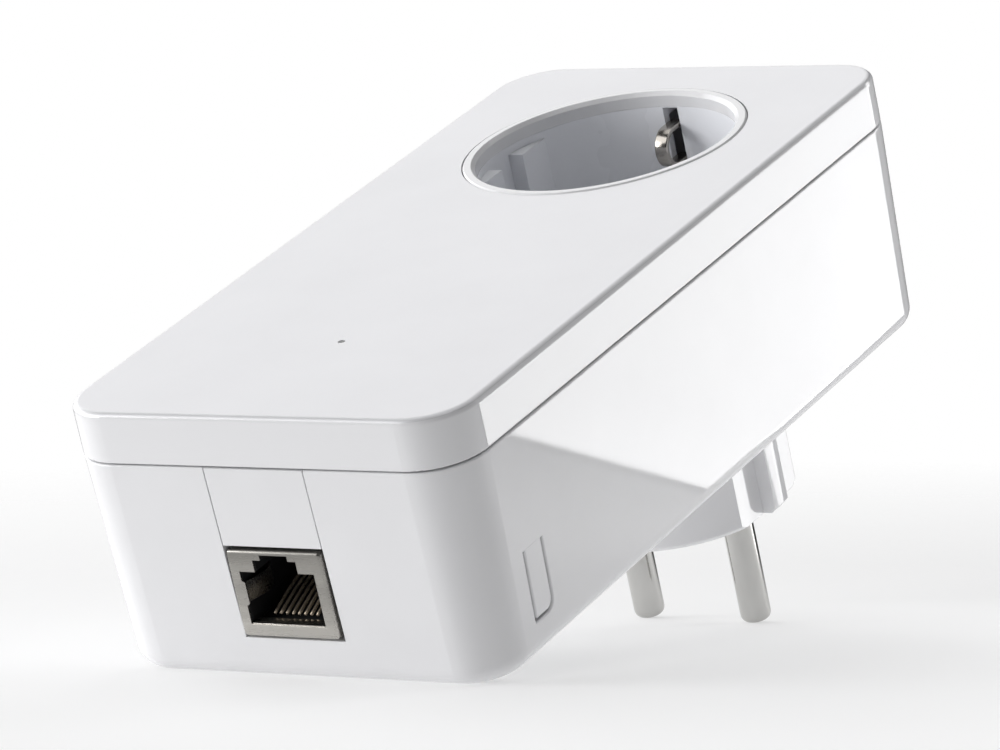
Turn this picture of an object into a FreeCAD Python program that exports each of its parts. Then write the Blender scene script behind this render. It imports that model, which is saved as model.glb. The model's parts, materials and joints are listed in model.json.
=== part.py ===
"""Pass-through powerline network adapter: casing, socket, plug, network jack and electronics.

Every piece is drawn lying flat: x runs across the width, y runs from the network end (y = 0)
to the socket end, and z rises from the wall side (z = 0) to the front face.  At the end all
pieces are tipped together, so that the adapter stands on its two pins and its lower edge.
"""
import FreeCAD
import Part
import Sketcher
import math
import os
import re

V = FreeCAD.Vector
ORIGIN, FIRST, CENTRE = -1, 1, 3

# Driving dimensions, in millimetres (angles in degrees).
SIZES = {
    # casing
    "body_width": 65.6, "body_length": 134.2, "body_depth": 40.5, "seam_height": 33.0,
    "side_draw": 1.05, "corner_round": 8.6, "wall": 2.2, "back_round": 3.0, "front_round": 1.0,
    "seam_gap": 0.25, "soft_edge": 0.25, "lip_height": 1.6, "lip_wall": 0.9, "slip": 0.1,
    "post_outer": 3.3, "post_side": 7.0, "post_near": 7.2, "post_far": 7.4,
    "screw_seat": 20.0, "screw_head_r": 2.3, "screw_head_h": 1.8, "screw_r": 1.1,
    "screw_length": 14.0, "post_joint": 29.0,
    # socket
    "socket_from_far": 31.8, "cup_r": 19.9, "cup_depth": 17.5, "cup_wall": 1.5,
    "cup_floor": 2.3, "rim_width": 1.85, "rim_slope": 0.55, "rim_proud": 0.15,
    "rim_bevel": 0.6, "rim_gap": 0.15, "flange_extra": 2.3, "flange_thick": 1.8,
    "rib_depth": 2.8, "rib_gap": 3.15, "rib_top_drop": 3.4, "entry_r": 3.0,
    "clip_slot": 2.6, "clip_slot_top": 2.4,
    # plug
    "pin_pitch": 19.0, "pin_r": 2.4, "pin_shank_r": 2.15, "pin_length": 19.0, "pin_tip": 0.9,
    "pin_fit": 0.03,
    "pin_head_r": 3.4, "pin_head": 1.1, "plug_r": 18.1, "plug_depth": 19.4, "plug_flat": 15.8,
    "plug_rib": 2.1, "plug_flange": 2.4, "plug_flange_thick": 2.0, "plug_edge": 0.7,
    "earth_recess": 3.8, "earth_recess_deep": 2.0, "earth_strip": 3.0, "strip_thick": 0.8,
    # contacts, carrier and shutter
    "carrier_inset": 2.4, "carrier_top": 17.2, "contact_bore": 4.0, "sleeve_bore": 2.45,
    "sleeve_wall": 0.7, "sleeve_top": 16.6, "sleeve_slit": 1.0, "bar_half": 2.0,
    "bridge_half": 2.5, "clip_half": 1.1, "clip_bend": 3.2, "clip_reach": 5.0,
    "clip_height": 32.5, "clip_foot": 18.0, "clip_clear": 0.9,
    "shutter_side": 3.9, "shutter_near": 3.4, "shutter_far": 3.6, "shutter_thick": 2.6,
    "shutter_play": 0.4, "shutter_ramp": 1.4, "spring_stop": 13.2, "spring_r": 1.0,
    "spring_wire": 0.22, "spring_turns": 6,
    # network jack and its panel
    "jack_half": 7.95, "jack_low": 7.05, "jack_high": 20.25, "jack_deep": 21.0,
    "jack_front": 0.35, "jack_aside": 0.7, "shield_wall": 0.35, "port_half": 6.2, "port_low": 9.0,
    "port_high": 17.0, "step_half": 3.6, "step_high": 18.8, "notch_half": 2.3,
    "notch_high": 19.6, "insert_gap": 0.1, "port_deep": 13.0, "contact_pitch": 1.02,
    "contact_r": 0.22, "panel_half": 8.2, "panel_low": 20.9, "panel_thick": 2.0,
    "jack_cut_half": 8.3, "jack_cut_aside": 0.4, "jack_cut_low": 6.7, "panel_fit": 0.12,
    # side button and its switch
    "tab_near": 12.35, "tab_far": 16.75, "tab_low": 5.75, "tab_high": 16.0, "tab_slot": 0.45,
    "tab_round": 1.6, "tab_wall": 1.6, "nub_height": 8.6, "nub_r": 1.0, "nub_proud": 0.5,
    "switch_gap": 0.15, "plunger_r": 0.8, "plunger_out": 1.3, "switch_deep": 3.6,
    "switch_half": 3.0,
    # boards and light
    "board_thick": 1.6, "board_side": 0.65, "board_end": 1.2, "board_clear": 6.5,
    "mains_near": 29.4, "mains_low": 25.0, "pillar_r": 2.5, "board_post_in": 4.4,
    "board_post_near": 27.0, "board_post_end": 4.0, "board_screw_r": 1.2,
    "light_y": 26.2, "light_tip_r": 0.5, "light_r": 1.6, "light_chip": 1.2, "light_chip_half": 1.6,
    "light_gap": 0.3, "light_short": 0.05, "sheet_thick": 0.4, "sheet_gap": 0.6, "sheet_inset": 3.0,
    "sheet_near": 9.0, "sheet_end": 1.0, "screw_flange": 0.8, "screw_crown": 1.5,
    "plate_half": 22.0, "plate_near": 12.0, "plate_far": 66.0, "plate_thick": 0.4,
}

doc = FreeCAD.newDocument("adapter")
sheet = doc.addObject("Spreadsheet::Sheet", "Sizes")
for row, (name, size) in enumerate(SIZES.items(), start=1):
    sheet.set("A%d" % row, name)
    sheet.set("B%d" % row, str(size))
    sheet.setAlias("B%d" % row, name)
working = doc.addObject("Spreadsheet::Sheet", "Working")
doc.recompute()

PIECES = []

# Places that several pieces share, as formulas of the sheet.
SOCKET_Y = "(body_length - socket_from_far)"
PLATE_LOW = "(body_depth - wall)"
CUP_FLOOR = "(body_depth - cup_depth)"
CUP_UNDER = "(body_depth - cup_depth - cup_floor)"
CUP_OUTER = "(cup_r + cup_wall)"
RIM_OUTER = "(cup_r + rim_width)"
RIM_INNER = "(cup_r + rim_slope)"
RIB_FACE = "(cup_r - rib_depth)"
FLANGE_R = "(cup_r + rim_width + flange_extra)"
FLANGE_LOW = "(body_depth - wall - flange_thick)"
JACK_LEFT = "(-jack_aside - jack_half)"
JACK_RIGHT = "(jack_half - jack_aside)"
CUT_LEFT = "(-jack_cut_aside - jack_cut_half)"
CUT_RIGHT = "(jack_cut_half - jack_cut_aside)"
BOARD_TOP = "jack_low"
BOARD_LOW = "(jack_low - board_thick)"
MAINS_TOP = "(mains_low + board_thick)"
FLANGE_TOP = "(wall + plug_flange_thick)"
CARRIER_R = "(cup_r - carrier_inset)"
CLIP_NOSE = "(cup_r - clip_reach)"
CLIP_BACK = "(cup_r + cup_wall + clip_clear)"
BOARD_HALF = "(body_width/2 - wall - side_draw - board_side)"
BOARD_NEAR = "(wall + board_end)"
BOARD_FAR = "(body_length - socket_from_far - cup_r - board_clear)"
BOARD_POST_X = "(body_width/2 - wall - side_draw - board_side - board_post_in)"
BOARD_POST_FAR = "(body_length - socket_from_far - cup_r - board_clear - board_post_end)"
SHUTTER_HALF = "(pin_pitch/2 + shutter_side)"
SHUTTER_LOW = "(carrier_top + shutter_play)"
SHUTTER_HIGH = "(carrier_top + shutter_play + shutter_thick)"
POSTS = [
    ("%s(body_width/2 - post_side)" % side, along)
    for side in ("-", "")
    for along in ("post_near", "(body_length - post_far)")
]


def formula(text):
    """Point every size name in a formula at its cell in the sheet."""
    return re.sub(r"[a-z_]+\w*", lambda m: "Sizes." + m[0] if m[0] in SIZES else m[0], str(text))


def measure(text):
    """The present value of a formula, worked out in a sheet of its own."""
    working.set("A1", "=" + formula(text))
    working.recompute()
    return float(working.get("A1"))


def side_x(height):
    """Half width of the tapering rear housing at a height, as a formula."""
    return "(body_width/2 - side_draw*(seam_height - %s)/seam_height)" % height


# ---- sketches and features -------------------------------------------------------------------
def new_body(label):
    body = doc.addObject("PartDesign::Body", label)
    body.Label = label
    body.AllowCompound = True
    PIECES.append(body)
    return body


def new_sketch(body, role, offset, shift=(0, 0)):
    """A sketch on a plane of the body's own origin, moved along the plane's normal."""
    sketch = body.newObject("Sketcher::SketchObject", "Sketch")
    plane = [f for f in body.Origin.OriginFeatures if f.Role == role][0]
    sketch.AttachmentSupport = [(plane, "")]
    sketch.MapMode = "FlatFace"
    sketch.setExpression("AttachmentOffset.Base.x", formula(shift[0]))
    sketch.setExpression("AttachmentOffset.Base.y", formula(shift[1]))
    sketch.setExpression("AttachmentOffset.Base.z", formula(offset))
    return sketch


def bind(sketch, kind, geometry, point, text):
    """One dimension of a sketch, tied to the sheet."""
    if point is None:
        index = sketch.addConstraint(Sketcher.Constraint(kind, geometry, 1.0))
    else:
        index = sketch.addConstraint(Sketcher.Constraint(kind, ORIGIN, 1, geometry, point, 1.0))
    sketch.setExpression("Constraints[%d]" % index, formula(text))


def draw_loop(sketch, loop):
    """Draw a circle (u, v, radius), a closed outline [(u, v), ...] or a rounded rectangle."""
    first = sketch.GeometryCount
    if isinstance(loop, dict):
        draw_rounded(sketch, **loop)
        return
    if isinstance(loop, tuple):
        sketch.addGeometry(Part.Circle(V(0, 0, 0), V(0, 0, 1), 1.0))
        bind(sketch, "DistanceX", first, CENTRE, loop[0])
        bind(sketch, "DistanceY", first, CENTRE, loop[1])
        bind(sketch, "Radius", first, None, loop[2])
        return
    count = len(loop)
    corners = [
        V(math.cos(2 * math.pi * k / count), math.sin(2 * math.pi * k / count), 0)
        for k in range(count)
    ]
    for k in range(count):
        sketch.addGeometry(Part.LineSegment(corners[k], corners[(k + 1) % count]))
    for k in range(count):
        following = first + (k + 1) % count
        sketch.addConstraint(Sketcher.Constraint("Coincident", first + k, 2, following, 1))
    for k, (u, v) in enumerate(loop):
        bind(sketch, "DistanceX", first + k, FIRST, u)
        bind(sketch, "DistanceY", first + k, FIRST, v)


def draw_rounded(sketch, low, high, radius):
    """A rectangle from low to high with four tangent corner arcs."""
    (u0, v0), (u1, v1), r = map(measure, low), map(measure, high), measure(radius)
    ends = [
        (V(u0 + r, v0, 0), V(u1 - r, v0, 0)), (V(u1, v0 + r, 0), V(u1, v1 - r, 0)),
        (V(u1 - r, v1, 0), V(u0 + r, v1, 0)), (V(u0, v1 - r, 0), V(u0, v0 + r, 0)),
    ]
    centres = [V(u1 - r, v0 + r, 0), V(u1 - r, v1 - r, 0), V(u0 + r, v1 - r, 0), V(u0 + r, v0 + r, 0)]
    lines = [sketch.addGeometry(Part.LineSegment(*pair)) for pair in ends]
    arcs = []
    for k, centre in enumerate(centres):
        circle = Part.Circle(centre, V(0, 0, 1), r)
        start = (k - 1) * math.pi / 2
        arcs.append(sketch.addGeometry(Part.ArcOfCircle(circle, start, start + math.pi / 2)))
    for k in range(4):
        sketch.addConstraint(Sketcher.Constraint("Tangent", lines[k], 2, arcs[k], 1))
        sketch.addConstraint(Sketcher.Constraint("Tangent", arcs[k], 2, lines[(k + 1) % 4], 1))
        sketch.addConstraint(Sketcher.Constraint(("Horizontal", "Vertical")[k % 2], lines[k]))
    for arc in arcs[1:]:
        sketch.addConstraint(Sketcher.Constraint("Equal", arcs[0], arc))
    bind(sketch, "Radius", arcs[0], None, radius)
    bind(sketch, "DistanceY", lines[0], FIRST, low[1])
    bind(sketch, "DistanceX", lines[1], FIRST, high[0])
    bind(sketch, "DistanceY", lines[2], FIRST, high[1])
    bind(sketch, "DistanceX", lines[3], FIRST, low[0])


def box(u0, v0, u1, v1):
    return [(u0, v0), (u1, v0), (u1, v1), (u0, v1)]


def block(body, axis, start, end, *loops, cut=False, taper=None):
    """Pad (or pocket) loops from start to end along x, y or z.

    Loops are drawn in (y, z) for x, in (x, z) for y and in (x, y) for z.
    """
    length = "(%s) - (%s)" % (end, start)
    role = {"x": "YZ_Plane", "y": "XZ_Plane", "z": "XY_Plane"}[axis]
    if axis == "y":
        offset = "-(%s)" % (start if cut else end)
    else:
        offset = end if cut else start
    sketch = new_sketch(body, role, offset)
    for loop in loops:
        draw_loop(sketch, loop)
    before = body.Shape.Volume if cut else 0
    feature = body.newObject("PartDesign::Pocket" if cut else "PartDesign::Pad", "Block")
    feature.Profile = sketch
    feature.setExpression("Length", formula(length))
    if taper:
        feature.setExpression("TaperAngle", formula(taper))
    doc.recompute()
    if cut and body.Shape.Volume > before - 1e-6:
        raise RuntimeError("%s: a cut removed nothing" % body.Label)
    return feature


def turned(body, x, y, outline, cut=False):
    """Revolve an outline of (radius, z) points about an upright axis at (x, y)."""
    sketch = new_sketch(body, "XZ_Plane", "-(%s)" % y, (x, 0))
    draw_loop(sketch, outline)
    kind = "PartDesign::Groove" if cut else "PartDesign::Revolution"
    feature = body.newObject(kind, "Turned")
    feature.Profile = sketch
    feature.ReferenceAxis = (sketch, ["V_Axis"])
    feature.Angle = 360.0
    doc.recompute()
    return feature


def rounded(body, radius, wanted, kind="Fillet"):
    """Fillet (or chamfer) every edge of the body's last shape that passes the test."""
    base = body.Tip
    names = ["Edge%d" % (i + 1) for i, edge in enumerate(base.Shape.Edges) if wanted(edge)]
    if not names:
        raise RuntimeError("%s: no edges to dress" % body.Label)
    feature = body.newObject("PartDesign::" + kind, kind)
    feature.Base = (base, names)
    feature.setExpression("Radius" if kind == "Fillet" else "Size", formula(radius))
    doc.recompute()
    return feature


def upright(edge):
    box_ = edge.BoundBox
    return box_.ZLength > 0.5 and box_.ZLength > 3 * max(box_.XLength, box_.YLength)


def at_height(height):
    return lambda edge: all(abs(vertex.Z - height) < 0.01 for vertex in edge.Vertexes)


def across(axis, **place):
    """Straight edges along x, y or z that pass through the given coordinates."""
    def wanted(edge):
        box_ = edge.BoundBox
        lengths = {"x": box_.XLength, "y": box_.YLength, "z": box_.ZLength}
        middle = {"x": box_.Center.x, "y": box_.Center.y, "z": box_.Center.z}
        others = [lengths[name] for name in lengths if name != axis]
        return (lengths[axis] > 0.3 and max(others) < 0.2
                and all(abs(middle[name] - at) < 0.1 for name, at in place.items()))
    return wanted


def outer_edge(near, far, top):
    """Edges that lie in the tapered side wall's outer face between two places along y."""
    def wanted(edge):
        half = measure("body_width/2 - side_draw - wall/2")
        box_ = edge.BoundBox
        return (box_.XMin > half and box_.ZMin < measure(top) and box_.ZMin > measure("back_round")
                and box_.YMin > measure(near) - 0.05 and box_.YMax < measure(far) + 0.05)
    return wanted


# ---- casing ----------------------------------------------------------------------------------
def footprint(inset):
    """Plan of the casing, drawn in by an inset on every side."""
    half = "(body_width/2 - (%s))" % inset
    return {"low": ("-" + half, inset), "high": (half, "body_length - (%s)" % inset),
            "radius": "corner_round - (%s)" % inset}


def tapered_tray(body, inset, top, bottom, cut):
    """A block or hollow that draws in towards the wall side."""
    sketch = new_sketch(body, "XY_Plane", top)
    draw_loop(sketch, footprint(inset))
    feature = body.newObject("PartDesign::Pocket" if cut else "PartDesign::Pad", "Tray")
    feature.Profile = sketch
    feature.Reversed = not cut
    feature.setExpression("Length", formula("(%s) - (%s)" % (top, bottom)))
    feature.setExpression("TaperAngle", formula("-atan(side_draw/seam_height)"))
    doc.recompute()


def make_rear_housing():
    body = new_body("rear_housing")
    # a thin lip stands on the inner edge of the rim and enters the cover
    lip_top = "(seam_height + lip_height)"
    lip_foot = "(seam_height - seam_gap)"
    lip_inset = "(wall - lip_wall)"
    tapered_tray(body, "0", lip_foot, "0", cut=False)
    rounded(body, "back_round", at_height(0))
    rounded(body, "soft_edge", at_height(measure(lip_foot)))
    block(body, "z", lip_foot, lip_top, footprint(lip_inset))
    tapered_tray(body, "wall", lip_top, "wall", cut=True)
    # posts for the casing screws and for the boards
    for x, y in POSTS:
        block(body, "z", "wall - slip", "post_joint", (x, y, "post_outer"))
        block(body, "z", "0", "screw_seat", (x, y, "screw_head_r + slip"), cut=True)
        block(body, "z", "screw_seat - slip", "post_joint", (x, y, "screw_r + slip"), cut=True)
    for sign in ("-", ""):
        for along in ("board_post_near", BOARD_POST_FAR):
            place = (sign + BOARD_POST_X, along)
            block(body, "z", "wall - slip", BOARD_LOW, place + ("pillar_r",))
            block(body, "z", "wall", BOARD_LOW, place + ("board_screw_r + slip",), cut=True)
    # opening for the plug body, opening for the jack and its panel, recess for the plate
    block(body, "z", "0", "wall + slip", ("0", SOCKET_Y, "plug_r + slip"), cut=True)
    block(body, "y", "-1", "wall + side_draw + slip",
          box(CUT_LEFT, "jack_cut_low", CUT_RIGHT, "seam_height + 1"), cut=True)
    block(body, "z", "0", "plate_thick",
          box("-plate_half", "plate_near", "plate_half", "plate_far"), cut=True)
    # window for the side button, with its lower far corner rounded like the button's
    low, far = "tab_low - tab_slot", "tab_far + tab_slot"
    block(body, "x", "body_width/2 - 2*wall - side_draw", "body_width/2 + 1",
          box("tab_near - tab_slot", low, far, "tab_high"), cut=True)
    rounded(body, "tab_round + tab_slot", across("x", y=measure(far), z=measure(low)))
    rounded(body, "soft_edge", outer_edge("tab_near - tab_slot", far, "tab_high - soft_edge"))


def make_front_cover():
    body = new_body("front_cover")
    block(body, "z", "seam_height", "body_depth", footprint("0"))
    rounded(body, "front_round", at_height(measure("body_depth")))
    rounded(body, "soft_edge", at_height(measure("seam_height")))
    block(body, "z", "seam_height", PLATE_LOW, footprint("wall"), cut=True)
    block(body, "z", "seam_height", "seam_height + lip_height + slip",
          footprint("(wall - lip_wall - slip)"), cut=True)
    for x, y in POSTS:
        block(body, "z", "post_joint + slip", "body_depth - wall/2", (x, y, "post_outer"))
        block(body, "z", "post_joint", "screw_seat + screw_length + slip",
              (x, y, "screw_r + slip"), cut=True)
    block(body, "z", PLATE_LOW, "body_depth", ("0", SOCKET_Y, RIM_OUTER + " + rim_gap"), cut=True)
    block(body, "z", PLATE_LOW, "body_depth", ("0", "light_y", "light_tip_r + slip/2"), cut=True)


def make_jack_panel():
    """Insert that closes the end wall between the jack and the seam."""
    body = new_body("jack_panel")
    left = "(panel_fit/2 - panel_half - jack_cut_aside)"
    right = "(panel_half - panel_fit/2 - jack_cut_aside)"
    top = "(seam_height - seam_gap)"
    face = "side_draw*(seam_height - %s)/seam_height"
    block(body, "x", left, right, [
        (face % "panel_low", "panel_low"), (face % top, top),
        ("panel_thick", top), ("panel_thick + side_draw/2", "panel_low"),
    ])


def make_rating_plate():
    """Thin blank plate in the wall-side recess."""
    body = new_body("rating_plate")
    block(body, "z", "0.05", "plate_thick", box(
        "-(plate_half - slip)", "plate_near + slip", "plate_half - slip", "plate_far - slip"))


def make_housing_screws():
    body = new_body("housing_screws")
    for x, y in POSTS:
        turned(body, x, y, [
            ("0", "screw_seat - screw_head_h + 0.9"),
            ("screw_head_r*0.45", "screw_seat - screw_head_h + 0.9"),
            ("screw_head_r*0.45", "screw_seat - screw_head_h"),
            ("screw_head_r", "screw_seat - screw_head_h"), ("screw_head_r", "screw_seat"),
            ("screw_r", "screw_seat"), ("screw_r", "screw_seat + screw_length - screw_r"),
            ("0", "screw_seat + screw_length")])


# ---- pass-through socket ---------------------------------------------------------------------
def make_socket_rim():
    body = new_body("socket_rim")
    top = "(body_depth + rim_proud)"
    turned(body, "0", SOCKET_Y, [
        ("cup_r", PLATE_LOW), (RIM_OUTER, PLATE_LOW), (RIM_OUTER, top + " - soft_edge"),
        (RIM_OUTER + " - soft_edge", top), (RIM_INNER, top), ("cup_r", top + " - rim_bevel")])


def make_socket_cup():
    body = new_body("socket_cup")
    turned(body, "0", SOCKET_Y, [
        ("0", CUP_UNDER), (CUP_OUTER, CUP_UNDER), (CUP_OUTER, FLANGE_LOW),
        (FLANGE_R, FLANGE_LOW), (FLANGE_R, PLATE_LOW), ("cup_r", PLATE_LOW),
        ("cup_r", CUP_FLOOR), ("0", CUP_FLOOR)])
    # guide ribs: flat faces either side of a gap, on both sides of the recess
    reach = "(cup_r + cup_wall/2)"
    rib_end = "sqrt(pow(cup_r + 0.3; 2) - pow(%s; 2))" % RIB_FACE
    for side in ("-", ""):
        for turn in ("-", "+"):
            block(body, "z", CUP_FLOOR + " - slip", "body_depth - rib_top_drop", [
                (side + RIB_FACE, "%s %s rib_gap" % (SOCKET_Y, turn)),
                ("%ssqrt(pow(%s; 2) - pow(rib_gap; 2))" % (side, reach),
                 "%s %s rib_gap" % (SOCKET_Y, turn)),
                ("%s(%s + cup_wall*0.9)" % (side, RIB_FACE), "%s %s rib_gap*2.4" % (SOCKET_Y, turn)),
                (side + RIB_FACE, "%s %s %s" % (SOCKET_Y, turn, rib_end))])
    # entry holes for a plug's pins, slots for the earth clips
    for side in ("-", ""):
        block(body, "z", CUP_UNDER, CUP_FLOOR, (side + "pin_pitch/2", SOCKET_Y, "entry_r"),
              cut=True)
    slot_top = "(body_depth - clip_slot_top)"
    block(body, "y", "%s - %s - 1" % (SOCKET_Y, FLANGE_R), "%s + %s + 1" % (SOCKET_Y, FLANGE_R),
          box("-clip_slot/2", CUP_FLOOR + " + 1", "clip_slot/2", slot_top), cut=True)


def make_contact_carrier():
    """Insulating block under the socket floor; holds the contacts and guides the shutter."""
    body = new_body("contact_carrier")
    block(body, "z", FLANGE_TOP, "carrier_top", ("0", SOCKET_Y, CARRIER_R))
    for side in ("-", ""):
        rail = ["%s(%s + %s)" % (side, SHUTTER_HALF, reach) for reach in ("shutter_play", "2")]
        block(body, "z", "carrier_top - slip", SHUTTER_HIGH,
              box(rail[0], SOCKET_Y + " - 6", rail[1], SOCKET_Y + " + 6"))
        block(body, "z", FLANGE_TOP, "carrier_top",
              (side + "pin_pitch/2", SOCKET_Y, "contact_bore"), cut=True)
        centre = side + "pin_pitch/2"
        low = FLANGE_TOP + " + pin_head"
        block(body, "y", "%s - %s - 1" % (SOCKET_Y, CARRIER_R), SOCKET_Y,
              box(centre + " - bar_half - slip", low, centre + " + bar_half + slip",
                  low + " + strip_thick + slip"), cut=True)
    block(body, "z", FLANGE_TOP, FLANGE_TOP + " + strip_thick + slip",
          box("-bridge_half - slip", "%s - %s - 1" % (SOCKET_Y, CARRIER_R),
              "bridge_half + slip", "%s + %s + 1" % (SOCKET_Y, CARRIER_R)), cut=True)
    block(body, "z", "carrier_top - slip", SHUTTER_HIGH,
          box("-3", SOCKET_Y + " + spring_stop", "3", SOCKET_Y + " + spring_stop + 1.5"))


def make_socket_contact(label, side):
    """Split sleeve that grips a plug pin, with a bar to the mains board."""
    body = new_body(label)
    x = side + "pin_pitch/2"
    foot = "(%s + pin_head)" % FLANGE_TOP
    outer = "(sleeve_bore + sleeve_wall)"
    block(body, "z", foot, foot + " + strip_thick", (x, SOCKET_Y, "pin_head_r + 0.2"))
    block(body, "z", foot, "sleeve_top", (x, SOCKET_Y, outer))
    block(body, "z", foot + " + strip_thick", "sleeve_top", (x, SOCKET_Y, "sleeve_bore"),
          cut=True)
    slit = box("%s - sleeve_slit/2" % x, SOCKET_Y, "%s + sleeve_slit/2" % x, SOCKET_Y + " + 5")
    block(body, "z", foot + " + 2*strip_thick", "sleeve_top", slit, cut=True)
    riser = "(%s + 1)" % BOARD_FAR
    across = (x + " - bar_half", x + " + bar_half")
    block(body, "z", foot, foot + " + strip_thick",
          box(across[0], riser, across[1], SOCKET_Y + " - pin_head_r"))
    block(body, "z", foot, MAINS_TOP + " + strip_thick",
          box(across[0], riser, across[1], riser + " + strip_thick"))
    block(body, "z", MAINS_TOP, MAINS_TOP + " + strip_thick",
          box(across[0], BOARD_FAR + " - 3", across[1], riser + " + strip_thick/2"))


def make_earth_bridge():
    """U-shaped strap that joins both earth clips and the plug's earth strips."""
    body = new_body("earth_bridge")
    reach = "(%s + strip_thick)" % CLIP_BACK
    block(body, "z", FLANGE_TOP, FLANGE_TOP + " + strip_thick",
          box("-bridge_half", SOCKET_Y + " - " + reach, "bridge_half", SOCKET_Y + " + " + reach))
    for turn in ("-", "+"):
        ends = ["%s %s %s" % (SOCKET_Y, turn, CLIP_BACK), "%s %s %s" % (SOCKET_Y, turn, reach)]
        block(body, "z", FLANGE_TOP, "clip_foot",
              box("-bridge_half", ends[0], "bridge_half", ends[1]))


def make_earth_clip(label, turn):
    """Spring strip: a leg behind the cup wall and a round nose through its slot."""
    body = new_body(label)
    wide = ("-clip_half", "clip_half")

    def out(distance):
        return "%s %s (%s)" % (SOCKET_Y, turn, distance)

    middle = CLIP_NOSE + " + clip_bend"
    inner = "clip_bend - strip_thick"
    block(body, "x", *wide, (out(middle), "clip_height", "clip_bend"),
          (out(middle), "clip_height", inner))
    spare = "clip_bend + 1"
    block(body, "x", *wide, box(out(middle), "clip_height - (%s)" % spare,
                                out(middle + " + " + spare), "clip_height + (%s)" % spare),
          cut=True)
    top = "clip_height + clip_bend"
    leg = CLIP_BACK + " + strip_thick"
    low = "clip_height - clip_bend"
    block(body, "x", *wide, box(out(middle), top + " - strip_thick",
                                out(CLIP_BACK + " - 0.6"), top))
    block(body, "x", *wide, box(out(middle), low,
                                out(leg), low + " + strip_thick"))
    block(body, "x", *wide, box(out(CLIP_BACK), "clip_foot", out(leg), low + " + strip_thick"))
    rounded(body, "strip_thick", across("x", y=measure(out(leg)),
                                        z=measure(low + " + strip_thick")))


def make_shutter():
    """Safety shutter: a sliding plate that covers both entry holes."""
    body = new_body("socket_shutter")
    block(body, "z", SHUTTER_LOW, SHUTTER_HIGH,
          box("-" + SHUTTER_HALF, SOCKET_Y + " - shutter_near",
              SHUTTER_HALF, SOCKET_Y + " + shutter_far"))
    rounded(body, "shutter_ramp", across("x", y=measure(SOCKET_Y + " - shutter_near"),
                                         z=measure(SHUTTER_HIGH)), kind="Chamfer")


def make_shutter_spring():
    """Small coil between the shutter and the carrier's stop, along y."""
    start = SIZES["body_length"] - SIZES["socket_from_far"] + SIZES["shutter_far"] + 0.3
    free = SIZES["spring_stop"] - SIZES["shutter_far"] - 0.6
    middle = SIZES["carrier_top"] + SIZES["shutter_play"] + SIZES["shutter_thick"] / 2
    helix = Part.makeHelix(free / SIZES["spring_turns"], free, SIZES["spring_r"])
    ring = Part.Wire(Part.makeCircle(SIZES["spring_wire"], V(SIZES["spring_r"], 0, 0), V(0, 1, 0)))
    coil = Part.Wire(helix.Edges).makePipeShell([ring], True, True)
    coil.rotate(V(0, 0, 0), V(1, 0, 0), -90)
    coil.translate(V(0, start, middle))
    spring = doc.addObject("Part::Feature", "shutter_spring")
    spring.Label = "shutter_spring"
    spring.Shape = coil
    PIECES.append(spring)


# ---- plug ------------------------------------------------------------------------------------
def make_plug_body():
    body = new_body("plug_body")
    turned(body, "0", SOCKET_Y, [
        ("0", "-plug_depth"), ("plug_r - plug_edge", "-plug_depth"),
        ("plug_r", "-plug_depth + plug_edge"), ("plug_r", "wall"),
        ("plug_r + plug_flange", "wall"), ("plug_r + plug_flange", FLANGE_TOP),
        ("0", FLANGE_TOP)])
    # flat sides, each with a guide rib left standing in the middle
    for side in ("-", ""):
        for turn in ("-", "+"):
            block(body, "z", "-plug_depth - 1", "0", box(
                side + "plug_flat", "%s %s plug_rib" % (SOCKET_Y, turn),
                side + "(plug_r + 1)", "%s %s (plug_r + 1)" % (SOCKET_Y, turn)), cut=True)
        block(body, "z", "-plug_depth - 1", FLANGE_TOP,
              (side + "pin_pitch/2", SOCKET_Y, "pin_shank_r + pin_fit"), cut=True)
    for turn in ("-", "+"):
        edge = "%s %s (plug_r - earth_recess_deep)" % (SOCKET_Y, turn)
        block(body, "z", "-plug_depth - 1", "-wall", box(
            "-earth_recess", edge, "earth_recess", "%s %s (plug_r + 1)" % (SOCKET_Y, turn)),
            cut=True)
        block(body, "z", "-wall - slip", FLANGE_TOP, box(
            "-earth_strip - slip", edge, "earth_strip + slip",
            "%s %s (strip_thick + slip)" % (edge, turn)), cut=True)


def make_plug_pin(label, side):
    """Solid pin, stepped down where it is moulded into the plug body, with a riveted head."""
    body = new_body(label)
    tip = "-(plug_depth + pin_length)"
    turned(body, side + "pin_pitch/2", SOCKET_Y, [
        ("0", tip), ("pin_r - pin_tip", tip), ("pin_r - 0.25*pin_tip", tip + " + 0.45*pin_tip"),
        ("pin_r", tip + " + 1.2*pin_tip"), ("pin_r", "-plug_depth"),
        ("pin_shank_r", "-plug_depth"), ("pin_shank_r", FLANGE_TOP), ("pin_head_r", FLANGE_TOP),
        ("pin_head_r", FLANGE_TOP + " + pin_head"), ("0", FLANGE_TOP + " + pin_head")])


def make_plug_earth(label, turn):
    """Earth strip in the recess at one end of the plug body."""
    body = new_body(label)
    inner = "%s %s (plug_r - earth_recess_deep + slip/2)" % (SOCKET_Y, turn)
    outer = "%s %s (plug_r - earth_recess_deep + slip/2 + strip_thick)" % (SOCKET_Y, turn)
    block(body, "z", "-plug_depth + 1.5", FLANGE_TOP,
          box("-earth_strip", inner, "earth_strip", outer))


# ---- network jack ----------------------------------------------------------------------------
PORT_HALF_OUTLINE = [
    ("port_half", "port_low"), ("port_half", "port_high"), ("step_half", "port_high"),
    ("step_half", "step_high"), ("notch_half", "step_high"), ("notch_half", "notch_high"),
]
PORT = [("(%s - jack_aside)" % half, level) for half, level in PORT_HALF_OUTLINE] + [
    ("(-%s - jack_aside)" % half, level) for half, level in reversed(PORT_HALF_OUTLINE)]


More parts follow.
